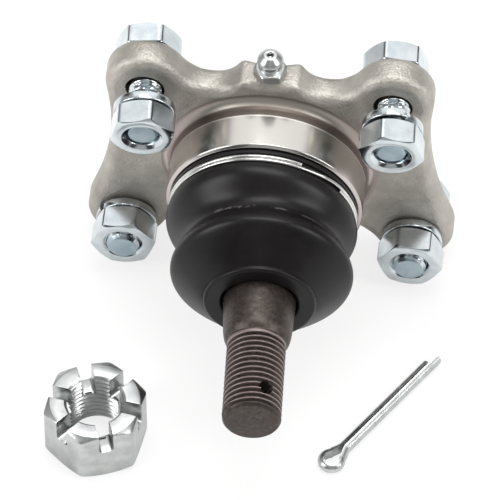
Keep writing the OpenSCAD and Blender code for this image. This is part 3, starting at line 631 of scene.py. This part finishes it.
def flange_skin(collar_ring, boss_ring, draft=0.25):
    """One closed grid: front face from the collar ring out, edge, rear face to the boss ring.

    Each face is a relaxed grid between the outline's inset and a ring. The edge is the
    inset pushed out along the outline's normal by a quarter round, then straight, then
    a quarter round back; the draft makes it fullest in the middle. The round is smaller
    at the two corners of the fitting's boss."""
    tangent = unit(np.roll(outline, -1, axis=0) - np.roll(outline, 1, axis=0))
    normal = np.stack([-tangent[:, 1], tangent[:, 0]], -1)
    if np.sum(normal * outline) < 0:
        normal = -normal
    corners = [boss_edge * [side, 1] for side in (-1, 1)]
    to_corner = np.min([np.linalg.norm(outline - corner, axis=1) for corner in corners], axis=0)
    edge = edge_radius - 1.5 * np.exp(-((to_corner / 3.0) ** 2))
    inset = outline - normal * (edge + draft)[:, None]
    circle = unit(softened(inset, 30))
    share = np.linspace(1, 0, 14)[:, None, None]
    rows = []
    for p in relaxed((1 - share) * inset + share * collar_ring * circle):
        rows.append(np.column_stack([p, plate_middle + plate_half + proud(p)]))
    for side in (1, -1):
        for s in np.linspace(0, np.pi / 2, 8) + (0 if side > 0 else np.pi / 2):
            depth = side * (plate_half + proud(inset) - edge) + edge * math.cos(s)
            out = edge * math.sin(s) + draft * (1 - np.abs(depth) / plate_half)
            rows.append(np.column_stack([inset + normal * out[:, None], plate_middle + depth]))
    for p in relaxed((1 - share) * inset + share * boss_ring * circle)[::-1]:
        rows.append(np.column_stack([p, plate_middle - plate_half - proud(p)]))
    return np.array(rows)


forged_flange = grid_piece("forged_flange", in_frame(flange_skin(22.5, 20.5)), blasted, 45)


def rods(name, places, radius, low, high, columns=64):
    """Plain cylinders side by side in one mesh, to cut round holes with."""
    profile = np.array([[0, low], [radius, low], [radius, high], [0, high]])
    shift = np.array([[x, y, 0] for x, y in places])
    points = revolved(profile, columns)[None] + shift[:, None, None]
    faces = []
    for k in range(len(places)):
        faces += grid_faces(len(profile), columns, start=k * len(profile) * columns)
    return piece(name, in_frame(points.reshape(-1, 3)), faces, blasted)


cut(forged_flange, rods("bolt_hole_rods", lug_places, 4.7, -12, 3))
forged_flange.data.set_sharp_from_angle(angle=math.radians(45))
print("forged flange:", len(forged_flange.data.vertices), "points")

# %% [markdown]
# ## Collar and rear boss
#
# The collar, its fillet and the spigot are cut on a lathe after forging, so they
# are one turned piece with crisp edges and its own bright finish. The boss behind
# the flange is turned too, with a lip that is rolled over the cover plate.

# %% Turned collar and rear boss
# The corners of a profile are (radius, depth) in mm.
foot_radius, hollow = 2.4, 15.25
fillet = [
    (25.9 - foot_radius * math.sin(a), 1.6 - foot_radius * math.cos(a))
    for a in np.linspace(0, math.pi / 2, 9)
]
collar_and_spigot = [
    (23.5, 1.7), (23.5, 12.0), (22.9, 12.55), (20.4, 12.55), (20.4, 16.9), (19.8, 17.5),
    (15.3, 17.5), (11.0, 7.8), (11.0, 6.8),
]
collar_profile = np.concatenate([
    [(26.1, -2.4), (26.1, -0.78)], fillet, rounded(collar_and_spigot, 0.15),
    [(hollow, 6.8), (hollow, -2.4)],
])
turned_collar = turned_piece(
    "turned_collar", collar_profile, turned, columns=240, closed=True, sharp=40
)
boss_and_lip = [
    (hollow, -6), (22.0, -6), (22.0, -8.66), (20.6, -8.7), (18.9, -9.3), (18.6, -10.8),
    (18.6, -14.5), (17.35, -17.0), (16.85, -17.4), (15.55, -17.1), (16.05, -16.1),
    (16.62, -15.5),
]
boss_profile = np.concatenate([rounded(boss_and_lip, 0.35), [(16.65, -13.9), (hollow, -13.9)]])
rear_boss = turned_piece("rear_boss", boss_profile, blasted, columns=200, closed=True)
cover_profile = rounded([
    (0, -14.8), (9.7, -14.8), (12.2, -13.9), (16.62, -13.9), (16.62, -15.45), (16.0, -16.05),
    (11.6, -16.07), (9.2, -17.0), (0, -17.0),
], 0.5)
pressed_cover = turned_piece("pressed_cover", cover_profile, plate)
for obj in (turned_collar, rear_boss, pressed_cover):
    print(obj.name, len(obj.data.vertices), "points")

# %% [markdown]
# ## Rubber boot
#
# The boot is a bellows: a cuff that sits on the spigot, two soft folds with a valley
# between them, and a raised lip that seals on the stud. Its profile is a smooth run
# of raised-cosine steps from one radius to the next, as in the solid, with the lower
# fold's crest rounded a little more, and then a wall inside it. Its small end leans
# with the stud, so the rings between cuff and lip are turned by and by.

# %% Boot


def swell(r1, at1, r2, at2, steps=14):
    """Radii from r1 to r2 along a raised cosine, without the first point."""
    t = np.arange(1, steps + 1) / steps
    return np.stack([r1 + (r2 - r1) * (1 - np.cos(np.pi * t)) / 2, at1 + (at2 - at1) * t], -1)


def shoulder(r1, r2, at1, at2, steps=20, power=1.85):
    """A cone with a rounded start, without the first point: cos and sin of a quarter
    turn, both raised to the power, which is 1 for an ellipse and 2 for a plain cone."""
    t = np.arange(1, steps + 1) / steps * np.pi / 2
    near_one, near_zero = np.clip(np.cos(t), 0, 1) ** power, np.sin(t) ** power
    return np.stack([r2 + (r1 - r2) * near_one, at1 + (at2 - at1) * near_zero], -1)


def eased(profile, low, high, steps=75, sigma=6.5, reach=18):
    """Round a profile between two depths: lay it out in even steps, and average each
    point with its neighbours by a bell curve that is sigma steps wide."""
    within = (profile[:, 1] > low) & (profile[:, 1] < high)
    run = even_steps(profile[within], steps + 1, endpoint=True)
    beyond = np.arange(1, reach + 1)[:, None]
    before = run[0] - (run[1] - run[0]) * beyond[::-1]
    after = run[-1] + (run[-1] - run[-2]) * beyond
    padded = np.concatenate([before, run, after])
    bell = np.exp(-0.5 * (np.arange(-reach, reach + 1) / sigma) ** 2)
    run = np.stack([np.convolve(padded[:, k], bell / bell.sum(), "valid") for k in (0, 1)], -1)
    first, last = np.nonzero(within)[0][[0, -1]]
    return np.concatenate([profile[:first], run[::2], profile[last + 1 :]])


cuff = [
    (20.5, 12.65), (22.3, 12.65), (22.6, 13.0), (22.6, 13.8), (22.3, 14.0), (21.8, 14.15),
    (21.8, 16.3), (22.3, 16.45), (22.6, 16.7),
]
lip = [
    (13.4, 40.35), (13.38, 41.15), (12.8, 41.6), (9.5, 41.6), (9.0, 41.1), (8.95, 40.18),
    (11.36, 40.18), (11.36, 38.82), (8.95, 38.82), (9.0, 38.05),
]
outside = np.concatenate([
    rounded(cuff, 0.15, 3),
    swell(22.6, 16.7, 22.9, 18.2),
    swell(22.9, 18.2, 19.2, 26.0),
    swell(19.2, 26.0, 22.0, 32.8),
    shoulder(22.0, 13.4, 32.8, 40.3),
    rounded(lip, 0.3, 3),
])
outside = eased(outside, 29.0, 38.0)
inside = np.concatenate([
    [(20.46, 12.7), (20.46, 17.3)],
    swell(20.46, 17.3, 21.2, 18.6),
    swell(21.2, 18.6, 17.5, 26.0),
    swell(17.5, 26.0, 20.3, 32.8),
    shoulder(20.3, 13.4, 32.8, 38.0),
])
section = np.concatenate([outside, inside[::-1]])
cuff_end, bend_end = 16.7, 29.4
points = revolved(section, 200)
bend = stud_lean * smooth_step(cuff_end, bend_end, points[..., 2])
x, z = points[..., 0].copy(), points[..., 2].copy()
points[..., 0] = x * np.cos(bend) + z * np.sin(bend)
points[..., 2] = z * np.cos(bend) - x * np.sin(bend)
boot = grid_piece("rubber_boot", in_frame(points), rubber, 50)
print("boot:", len(boot.data.vertices), "points")

# %% [markdown]
# ## Wire ring
#
# One spring wire is wound not quite twice round the cuff, turn beside turn. It is a
# round section carried along a ring that crosses over from its first turn to its
# second in the stretch between its two ends, which are cut square.

# %% Wire ring


def ring_frames(path):
    """Two cross directions for each point of a path that runs round the axis."""
    tangent = unit(np.gradient(path, axis=0))
    across = unit(np.cross(np.broadcast_to([0, 0, 1.0], path.shape), tangent))
    return across, np.cross(tangent, across)


def swept(name, path, section, material, sharp=40):
    """Carry a flat section (u, v) along a path: each ring is path + u across + v up."""
    across, up_way = ring_frames(path)
    u, v = section[None, :, :1], section[None, :, 1:]
    rings = path[:, None] + u * across[:, None] + v * up_way[:, None]
    faces = tube_faces(len(path), len(section))
    return piece(name, in_frame(rings), faces, material, sharp, merge=0)


wire_radius, wire_middle, first_turn_depth, turn_gap = 0.48, 22.29, 14.75, 1.0
turn_from, turn_to = math.radians(65.5), math.radians(35.0 + 720)
a = np.linspace(turn_from, turn_to, 520)
wire_depth = first_turn_depth + turn_gap * smooth_step(
    turn_to - 2 * np.pi, turn_from + 2 * np.pi, a
)
wire_path = np.stack([wire_middle * np.cos(a), wire_middle * np.sin(a), wire_depth], -1)
t = np.linspace(0, 2 * np.pi, 16, endpoint=False)
wire_section = wire_radius * np.stack([np.cos(t), np.sin(t)], -1)
wire_ring = swept("spring_wire_ring", wire_path, wire_section, bright_wire)
print(f"wire ring: {(turn_to - turn_from) / 2 / math.pi:.2f} turns")

# %% [markdown]
# ## Threads
#
# A thread is a turned surface whose radius also depends on the angle: at angle a and
# depth z it stands in the phase z / pitch - a / (2 pi), and its radius falls from the
# crest to the root and back once in each phase.

# %% Threaded profiles


def thread_cut(depth_at, angle, pitch, low, high, flat=0.22):
    """How deep the thread is cut, 0 to 1: a triangle wave with flats, faded at both ends."""
    phase = (depth_at / pitch - angle / (2 * np.pi)) % 1.0
    wave = np.clip((1 - np.abs(2 * phase - 1) - flat / 2) / (1 - flat), 0, 1)
    rise = smooth_step(low, low + pitch * 0.8, depth_at)
    fade = rise * (1 - smooth_step(high - pitch * 0.6, high, depth_at))
    return wave * fade


def threaded(profile, pitch, low, high, cut_depth, columns):
    """A turned surface with a thread cut into it between two depths."""
    points = revolved(profile, columns)
    angle = np.linspace(0, 2 * np.pi, columns, endpoint=False)[None, :]
    cut_in = cut_depth * thread_cut(points[..., 2], angle, pitch, low, high)
    r = np.maximum(profile[:, :1] - cut_in, 0)
    points[..., 0], points[..., 1] = r * np.cos(angle), r * np.sin(angle)
    return points


# %% Ball stud
thread_from, thread_to, thread_radius, stud_pitch = 53.9, 75.6, 7.0, 1.5
ball_radius = 12.7
ball_arc = [
    (ball_radius * math.sin(t), -ball_radius * math.cos(t))
    for t in np.linspace(0.28, math.pi - 0.547, 48)
]
neck_and_taper = [
    ball_arc[-1], (6.6, 12.4), (6.6, 20.0), (8.8, 29.8), (9.1, 31.0), (8.14, 50.2),
    (7.75, 52.2), (7.0, 53.6), (thread_radius, thread_from),
]
stud_profile = np.concatenate([
    [(0, -12.2)], ball_arc,
    rounded(neck_and_taper, [0, 1.2, 2.5, 0.8, 0.8, 1.1, 1.3, 0.3, 0], 6)[1:],
    np.stack([np.full(236, thread_radius), np.linspace(thread_from, 75.2, 236)], -1),
    rounded([(7.0, 75.2), (6.95, 75.35), (6.35, 76.0), (0, 76.0)], 0.15, 3)[1:],
])
stud_points = threaded(stud_profile, stud_pitch, thread_from, thread_to, 0.78, 144)
ball_stud = grid_piece("phosphated_stud", in_frame(stud_points), phosphate, 60, closed=False)
hole = rods("cotter_hole_rod", [(0, 0)], 1.75, -12, 12, 48)
hole_place, hole_turn = Matrix.Translation((0, -69.9 * MM, 0)), math.radians(29)
hole.data.transform(
    hole_place @ Matrix.Rotation(hole_turn, 4, "Y") @ Matrix.Rotation(math.pi / 2, 4, "X")
)
cut(ball_stud, hole)
corners = np.empty(len(ball_stud.data.vertices) * 3)
ball_stud.data.vertices.foreach_get("co", corners)
corners = corners.reshape(-1, 3) / MM
from_axis = np.hypot(corners[:, 0], corners[:, 2])
on_thread = (-corners[:, 1] > thread_from) & (-corners[:, 1] < thread_to - 1.4)
# The crest share marks the thread's crests, which the stud's finish paints lighter: partly rubbed
# by handling, partly a painted highlight.
crest = ball_stud.data.attributes.new("crest", "FLOAT", "POINT")
crest.data.foreach_set("value", np.where(on_thread, smooth_step(6.75, 6.98, from_axis), 0.0))
ball_stud.data.transform(lean_matrix)
ball_stud.data.set_sharp_from_angle(angle=math.radians(60))
print("stud:", len(ball_stud.data.vertices), "points")

# %% [markdown]
# ## Hexagons
#
# A hexagon with slightly rounded corners has the radius f / (sum of cos^p)^(1/p),
# where the sum runs over the six flats that face the direction and f is half the
# width across the flats. Where the turned chamfer meets it, the edge dips towards
# the flats, which gives nuts and bolt heads their scalloped rim.

# %% Hexagon rows
columns = 120
ring = np.linspace(0, 2 * np.pi, columns, endpoint=False)


def circle_row(radius, z):
    """The points (radius cos a, radius sin a, z) for all the angles of the ring."""
    return np.stack([radius * np.cos(ring), radius * np.sin(ring), z + 0 * ring], -1)


def hex_radius(flats, turn, power=46):
    """Half the flats over the p-norm of the cosines to the six flats' directions."""
    faces = np.radians(np.arange(0, 360, 60) + 30) + turn
    c = np.clip(np.cos(ring[:, None] - faces), 0, None)
    return flats / 2 / (c**power).sum(1) ** (1 / power)


def hex_rows(flats, low, high, turn, chamfer_high=True):
    """Rows of a hexagon from its low face to its high one: face rim, chamfer's foot,
    side, chamfer's foot, face rim. The chamfer climbs 0.577 for each mm outwards."""
    r = hex_radius(flats, turn)
    face = flats / 2 - 0.2
    climb = (r - face) * 0.577
    low_foot, high_foot = low + climb, high - (climb if chamfer_high else 0.15)
    rows = [(face - 0.12, low), (face, low + 0.05)]
    rows += [(r - 0.1, low_foot - 0.03), (r, low_foot + 0.07)]
    rows += [(r, low_foot * (1 - t) + high_foot * t) for t in (0.25, 0.5, 0.75)]
    rows += [(r, high_foot - 0.07), (r - 0.1, high_foot + 0.03)]
    rows += [(face, high - 0.05), (face - 0.12, high)] if chamfer_high else [(r - 0.15, high)]
    return [circle_row(radius, z) for radius, z in rows]


# %% Bolts, washers and nuts
m8_radius, m8_pitch, m8_flats, head_height, nut_height = 4.0, 1.25, 14, 5.5, 6.5
lug_back, washer_rise, washer_thick = -9.0, 0.9, 2.1
hang_tilt, hang_way = math.radians(5.626), math.radians(27)
near_back, far_back, head_slide = 6.756, 2.5, 0.847
# Each name has its lug, the depth of the nut's back, how far the bolt's end stands out
# of the nut, and the turns of bolt, washer and nut in degrees.
fasteners = {
    "near_left": (lug_places[0], near_back, -1.0, (6, 200, 15.7)),
    "near_right": (lug_places[1], near_back, -1.0, (-12, 62, -13.8)),
    "far_left": (lug_places[2], far_back, 1.0, (4, 150, 8.9)),
    "far_right": (lug_places[3], far_back, 1.0, (0, 250, -7.4)),
}


def place_rows(rows, place):
    """Rows about the axis, moved to a place (x, y) and put into the joint's frame."""
    return in_frame(np.array(rows) + [*place, 0])


def make_bolt(name, place, end_at, turn, slide):
    """Hexagon head behind the lug and a shank whose thread runs to its chamfered end."""
    head_at = lug_back - slide
    top = head_at - head_height
    rows = [circle_row(0, top), circle_row(5.4, top)]
    rows += hex_rows(m8_flats, top, head_at, math.radians(turn), chamfer_high=False)
    shank = np.stack([np.full(110, m8_radius), np.linspace(head_at, end_at - 0.8, 110)], -1)
    tip = rounded([(m8_radius, end_at - 0.8), (3.3, end_at), (0, end_at)], 0.2, 3)[1:]
    shank = threaded(np.concatenate([shank, tip]), m8_pitch, -1.0, end_at - 0.2, 0.62, columns)
    obj = grid_piece(name, place_rows(rows + list(shank), place), blue_zinc, 38, closed=False)
    obj.data.materials.append(bolt_end_zinc)
    height = np.array([f.center[1] for f in obj.data.polygons])
    flat = np.array([abs(f.normal[1]) for f in obj.data.polygons])
    at_end = (height < -(end_at - 0.75) * MM) & (flat > 0.5)
    obj.data.polygons.foreach_set("material_index", at_end.astype(np.int32))
    return obj


def make_nut(name, place, back_at, turn):
    """Hexagon nut, countersunk at both ends, with a plain bore that the bolt fills."""
    front = back_at + nut_height
    bore = [
        (5.6, front), (4.95, front), (4.05, front - 0.85),
        (4.05, back_at + 0.85), (4.95, back_at), (5.6, back_at),
    ]
    rows = hex_rows(m8_flats, back_at, front, math.radians(turn))
    rows += [circle_row(r, z) for r, z in rounded(bore, 0.12, 3)]
    return grid_piece(name, place_rows(rows, place), blue_zinc, 38)


def make_washer(name, place, low_at, turn):
    """A split washer: a rounded rectangle carried round nearly one turn of a helix."""
    a = np.linspace(0, 2 * np.pi * 0.965, 90) + math.radians(turn)
    w, h = 1.55, washer_thick / 2
    depth = low_at + h + washer_rise * np.linspace(0, 1, 90)
    path = np.stack([5.75 * np.cos(a), 5.75 * np.sin(a), depth], -1)
    corners = rounded([(0, -h), (w, -h), (w, h), (-w, h), (-w, -h), (0, -h)], 0.25, 3)[:-1]
    return swept(name, path + [*place, 0], corners, blue_zinc)


def hang_matrix(place):
    """The slack bolt's tilt about the middle of its lug."""
    pivot = Vector((place[0], -plate_middle, place[1])) * MM
    axis = Vector((math.cos(hang_way), 0, math.sin(hang_way)))
    tilt = Matrix.Rotation(hang_tilt, 4, axis)
    return Matrix.Translation(pivot) @ tilt @ Matrix.Translation(-pivot)


for label, (place, back_at, proud_by, turns) in fasteners.items():
    slack = label.startswith("near")
    end_at, slide = back_at + nut_height + proud_by, head_slide if slack else 0
    washer_at = back_at - washer_thick - washer_rise
    bolt = make_bolt(label + "_m8_bolt", place, end_at, turns[0], slide)
    washer = make_washer(label + "_spring_washer", place, washer_at, turns[1])
    nut = make_nut(label + "_m8_nut", place, back_at, turns[2])
    for obj, node in ((bolt, "bolt"), (washer, "washer"), (nut, "nut")):
        if slack:
            obj.data.transform(hang_matrix(place))
        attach(obj, "housing")
        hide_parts(f"{label}_{node}")
print("4 bolts, 4 washers and 4 nuts")

# %% [markdown]
# ## Grease fitting
#
# A small hexagon with a turned neck and a conical head. Its mouth is open and the
# check ball, which is the solid's own, shows in it.

# %% Grease fitting
fitting_axis, fitting_flats, fitting_turn = 4.75, 7, math.radians(8)
screw = [(3.0, 24.5), (3.0, 29.75)]
neck = rounded([
    (2.95, 32.2), (2.6, 32.35), (2.45, 32.8), (2.45, 33.3), (3.05, 34.2), (3.2, 34.6),
    (2.9, 35.3), (1.6, 36.6), (0.72, 36.6), (0.7, 35.75), (1.25, 34.95), (1.25, 29.0),
], 0.3, 3)
rows = [circle_row(r, z) for r, z in screw]
rows += hex_rows(fitting_flats, 29.8, 32.2, fitting_turn)
rows += [circle_row(r, z) for r, z in neck] + [circle_row(1.25, 24.5)]
points = (np.array(rows) + [0, fitting_axis, 0]) * MM
fitting = grid_piece("grease_nipple", points, soft_zinc, 38)
print("grease fitting:", len(fitting.data.vertices), "points")

# %% [markdown]
# ## Castle nut
#
# The body is a hexagon with a plain bore, the slots are cut through it in three
# strokes, and every edge gets a small bevel so that it catches the light. The
# thread is a sleeve inside it, cut by the same strokes.

# %% Castle nut
nut_place, nut_turn, castle_flats = np.array([-35.5, -60.0]), 20.4, 22
nut_low, nut_high, slot_floor = -33.1, -18.1, -24.1


def upright(points, place):
    """Drawing (x, y, z) in mm, standing on the floor at a place (X, Y) of the frame."""
    return (np.array(points) + [*place, 0]) * MM


def slot_strokes(width, name):
    """Three bars with rounded lower corners, one for each pair of slots."""
    half, c, above_nut, beyond_nut = width / 2, 1.0, nut_high + 4, 16
    shape = rounded([
        (0, slot_floor), (half, slot_floor), (half, above_nut),
        (-half, above_nut), (-half, slot_floor), (0, slot_floor),
    ], [0, c, 0, 0, c, 0], 4)[:-1]
    n = len(shape)
    points, faces = [], []
    for k in range(3):
        turn = math.radians(nut_turn + 30 + 60 * k)
        way = np.array([math.cos(turn), math.sin(turn)])
        side = np.array([-math.sin(turn), math.cos(turn)])
        for end in (-beyond_nut, beyond_nut):
            points.append(np.column_stack([end * way + shape[:, :1] * side, shape[:, 1]]))
        start = k * 2 * n
        faces += grid_faces(2, n, start=start)
        faces += [list(range(start, start + n)), list(range(start + n, start + 2 * n))[::-1]]
    return piece(name, upright(np.concatenate(points), nut_place), faces, soft_zinc, merge=0)


bore = [
    (9, nut_high), (7.35, nut_high), (6.75, nut_high - 0.5),
    (6.75, nut_low + 0.9), (7.6, nut_low), (9, nut_low),
]
rows = hex_rows(castle_flats, nut_low, nut_high, math.radians(nut_turn))
rows += [circle_row(r, z) for r, z in rounded(bore, 0.15, 3)]
castle = grid_piece("castle_nut_body", upright(rows, nut_place), soft_zinc, 38)
cut(castle, slot_strokes(3.5, "slot_strokes"))
bevel = castle.modifiers.new("edges", "BEVEL")
bevel.width, bevel.segments, bevel.limit_method = 0.22 * MM, 2, "ANGLE"
bevel.angle_limit = math.radians(40)
keep_shape(castle)

sleeve_z = np.linspace(nut_low + 0.5, nut_high - 0.55, 130)
sleeve = revolved(np.stack([np.full(130, thread_radius), sleeve_z], -1), columns)
thread_in = 1 - thread_cut(sleeve[..., 2] - nut_low, ring[None, :], stud_pitch, -3, 20)
radius = thread_radius + 0.05 - 0.85 * thread_in
sleeve[..., 0], sleeve[..., 1] = radius * np.cos(ring), radius * np.sin(ring)
back = revolved(np.array([[7.2, sleeve_z[-1]], [7.2, sleeve_z[0]]]), columns)
points = upright(np.concatenate([sleeve, back]), nut_place)
thread_sleeve = grid_piece("castle_thread", points, soft_zinc, 60)
cut(thread_sleeve, slot_strokes(3.52, "thread_strokes"))
both = {"active_object": castle, "selected_editable_objects": [castle, thread_sleeve]}
with bpy.context.temp_override(**both):
    bpy.ops.object.join()
castle.name = "slotted_castle_nut"
castle.data.shade_smooth()
castle.data.set_sharp_from_angle(angle=math.radians(42))
print("castle nut:", len(castle.data.vertices), "points")

# %% [markdown]
# ## Cotter pin
#
# One half-round wire, bent back on itself: a leg, an eye, and the other leg, with
# the flat sides together. The section is a half disc carried along that path.

# %% Cotter pin
pin_place, pin_turn, pin_radius = np.array([21.0, -62.3]), math.radians(56), 1.45
long_leg, short_leg, leg_gap = 39.5, 36.5, 0.12


def pin_path(eye=1.85, neck=5.0, opening=38):
    """In along the short leg's inner face, round the eye, and out along the long leg's."""
    t = np.linspace(0, 1, 12)
    at_eye, open_by = eye * math.cos(math.radians(opening)), eye * math.sin(math.radians(opening))
    rise = leg_gap + (open_by - leg_gap) * t**2 * (3 - 2 * t)
    flare = np.stack([neck + (at_eye - neck) * t, rise], -1)
    a = np.radians(np.linspace(opening, 360 - opening, 60))[1:-1]
    loop = eye * np.stack([np.cos(a), np.sin(a)], -1)
    there, back = (
        np.stack([np.linspace(leg, neck, 24, endpoint=False), np.full(24, leg_gap)], -1)
        for leg in (short_leg, long_leg)
    )
    mirrored = np.concatenate([back, flare])[::-1] * [1, -1]
    return np.concatenate([there, flare, loop, mirrored])


flat_path = softened(pin_path(), 0.6)[2:-2]
flat_path = np.concatenate([[[short_leg, leg_gap]], flat_path, [[long_leg, -leg_gap]]])
tangent = unit(np.gradient(flat_path, axis=0))
outward = np.stack([tangent[:, 1], -tangent[:, 0]], -1)
outward *= np.sign(np.sum(outward[:, 1] * flat_path[:, 1]))
t = np.linspace(-np.pi / 2, np.pi / 2, 13)
half_disc = np.concatenate([
    pin_radius * np.stack([np.cos(t), np.sin(t)], -1),
    [[0.0, 0.9], [0.0, 0.0], [0.0, -0.9]],
])
c, s = math.cos(pin_turn), math.sin(pin_turn)
spin = np.array([[c, s], [-s, c]])
rings = (flat_path[:, None] + half_disc[None, :, :1] * outward[:, None]) @ spin
height = np.broadcast_to(half_disc[None, :, 1:] + nut_low + pin_radius, rings.shape[:2] + (1,))
points = upright(np.concatenate([rings, height], -1), pin_place)
faces = tube_faces(len(flat_path), len(half_disc))
cotter = piece("cotter_split_pin", points, faces, soft_zinc, sharp=45, merge=0)
print("cotter pin:", len(cotter.data.vertices), "points")

# %% [markdown]
# ## What rides on what
#
# Every piece but the boot follows a body of the imported model, and each stands for
# the solid it hides. The boot is baked in place in the joint's frame and follows no body.

# %% Riding and replacing
for obj, body, nodes, slot in (
    (forged_flange, "housing", ("housing_forging",), "forged_steel"),
    (turned_collar, "housing", (), "forged_steel"),
    (rear_boss, "housing", (), "forged_steel"),
    (pressed_cover, "housing", ("cover_plate",), "plate_steel"),
    (wire_ring, "housing", ("boot_wire_ring",), "bright_wire"),
    (fitting, "housing", ("grease_fitting_body",), "zinc_bright"),
    (ball_stud, "stud", ("ball_stud",), "phosphated_steel"),
    (castle, "loose_nut", ("castle_nut",), "zinc_bright"),
    (cotter, "loose_pin", ("cotter_pin",), "zinc_bright"),
):
    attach(obj, body)
    if nodes:
        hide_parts(*nodes)
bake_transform(boot)
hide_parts("dust_boot")

# %% Sizes and finish
visual_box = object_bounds()
for name, box in (("solids", cad_box), ("scene", visual_box)):
    print(name, [round((b - a) * 1000, 2) for a, b in zip(*box)])
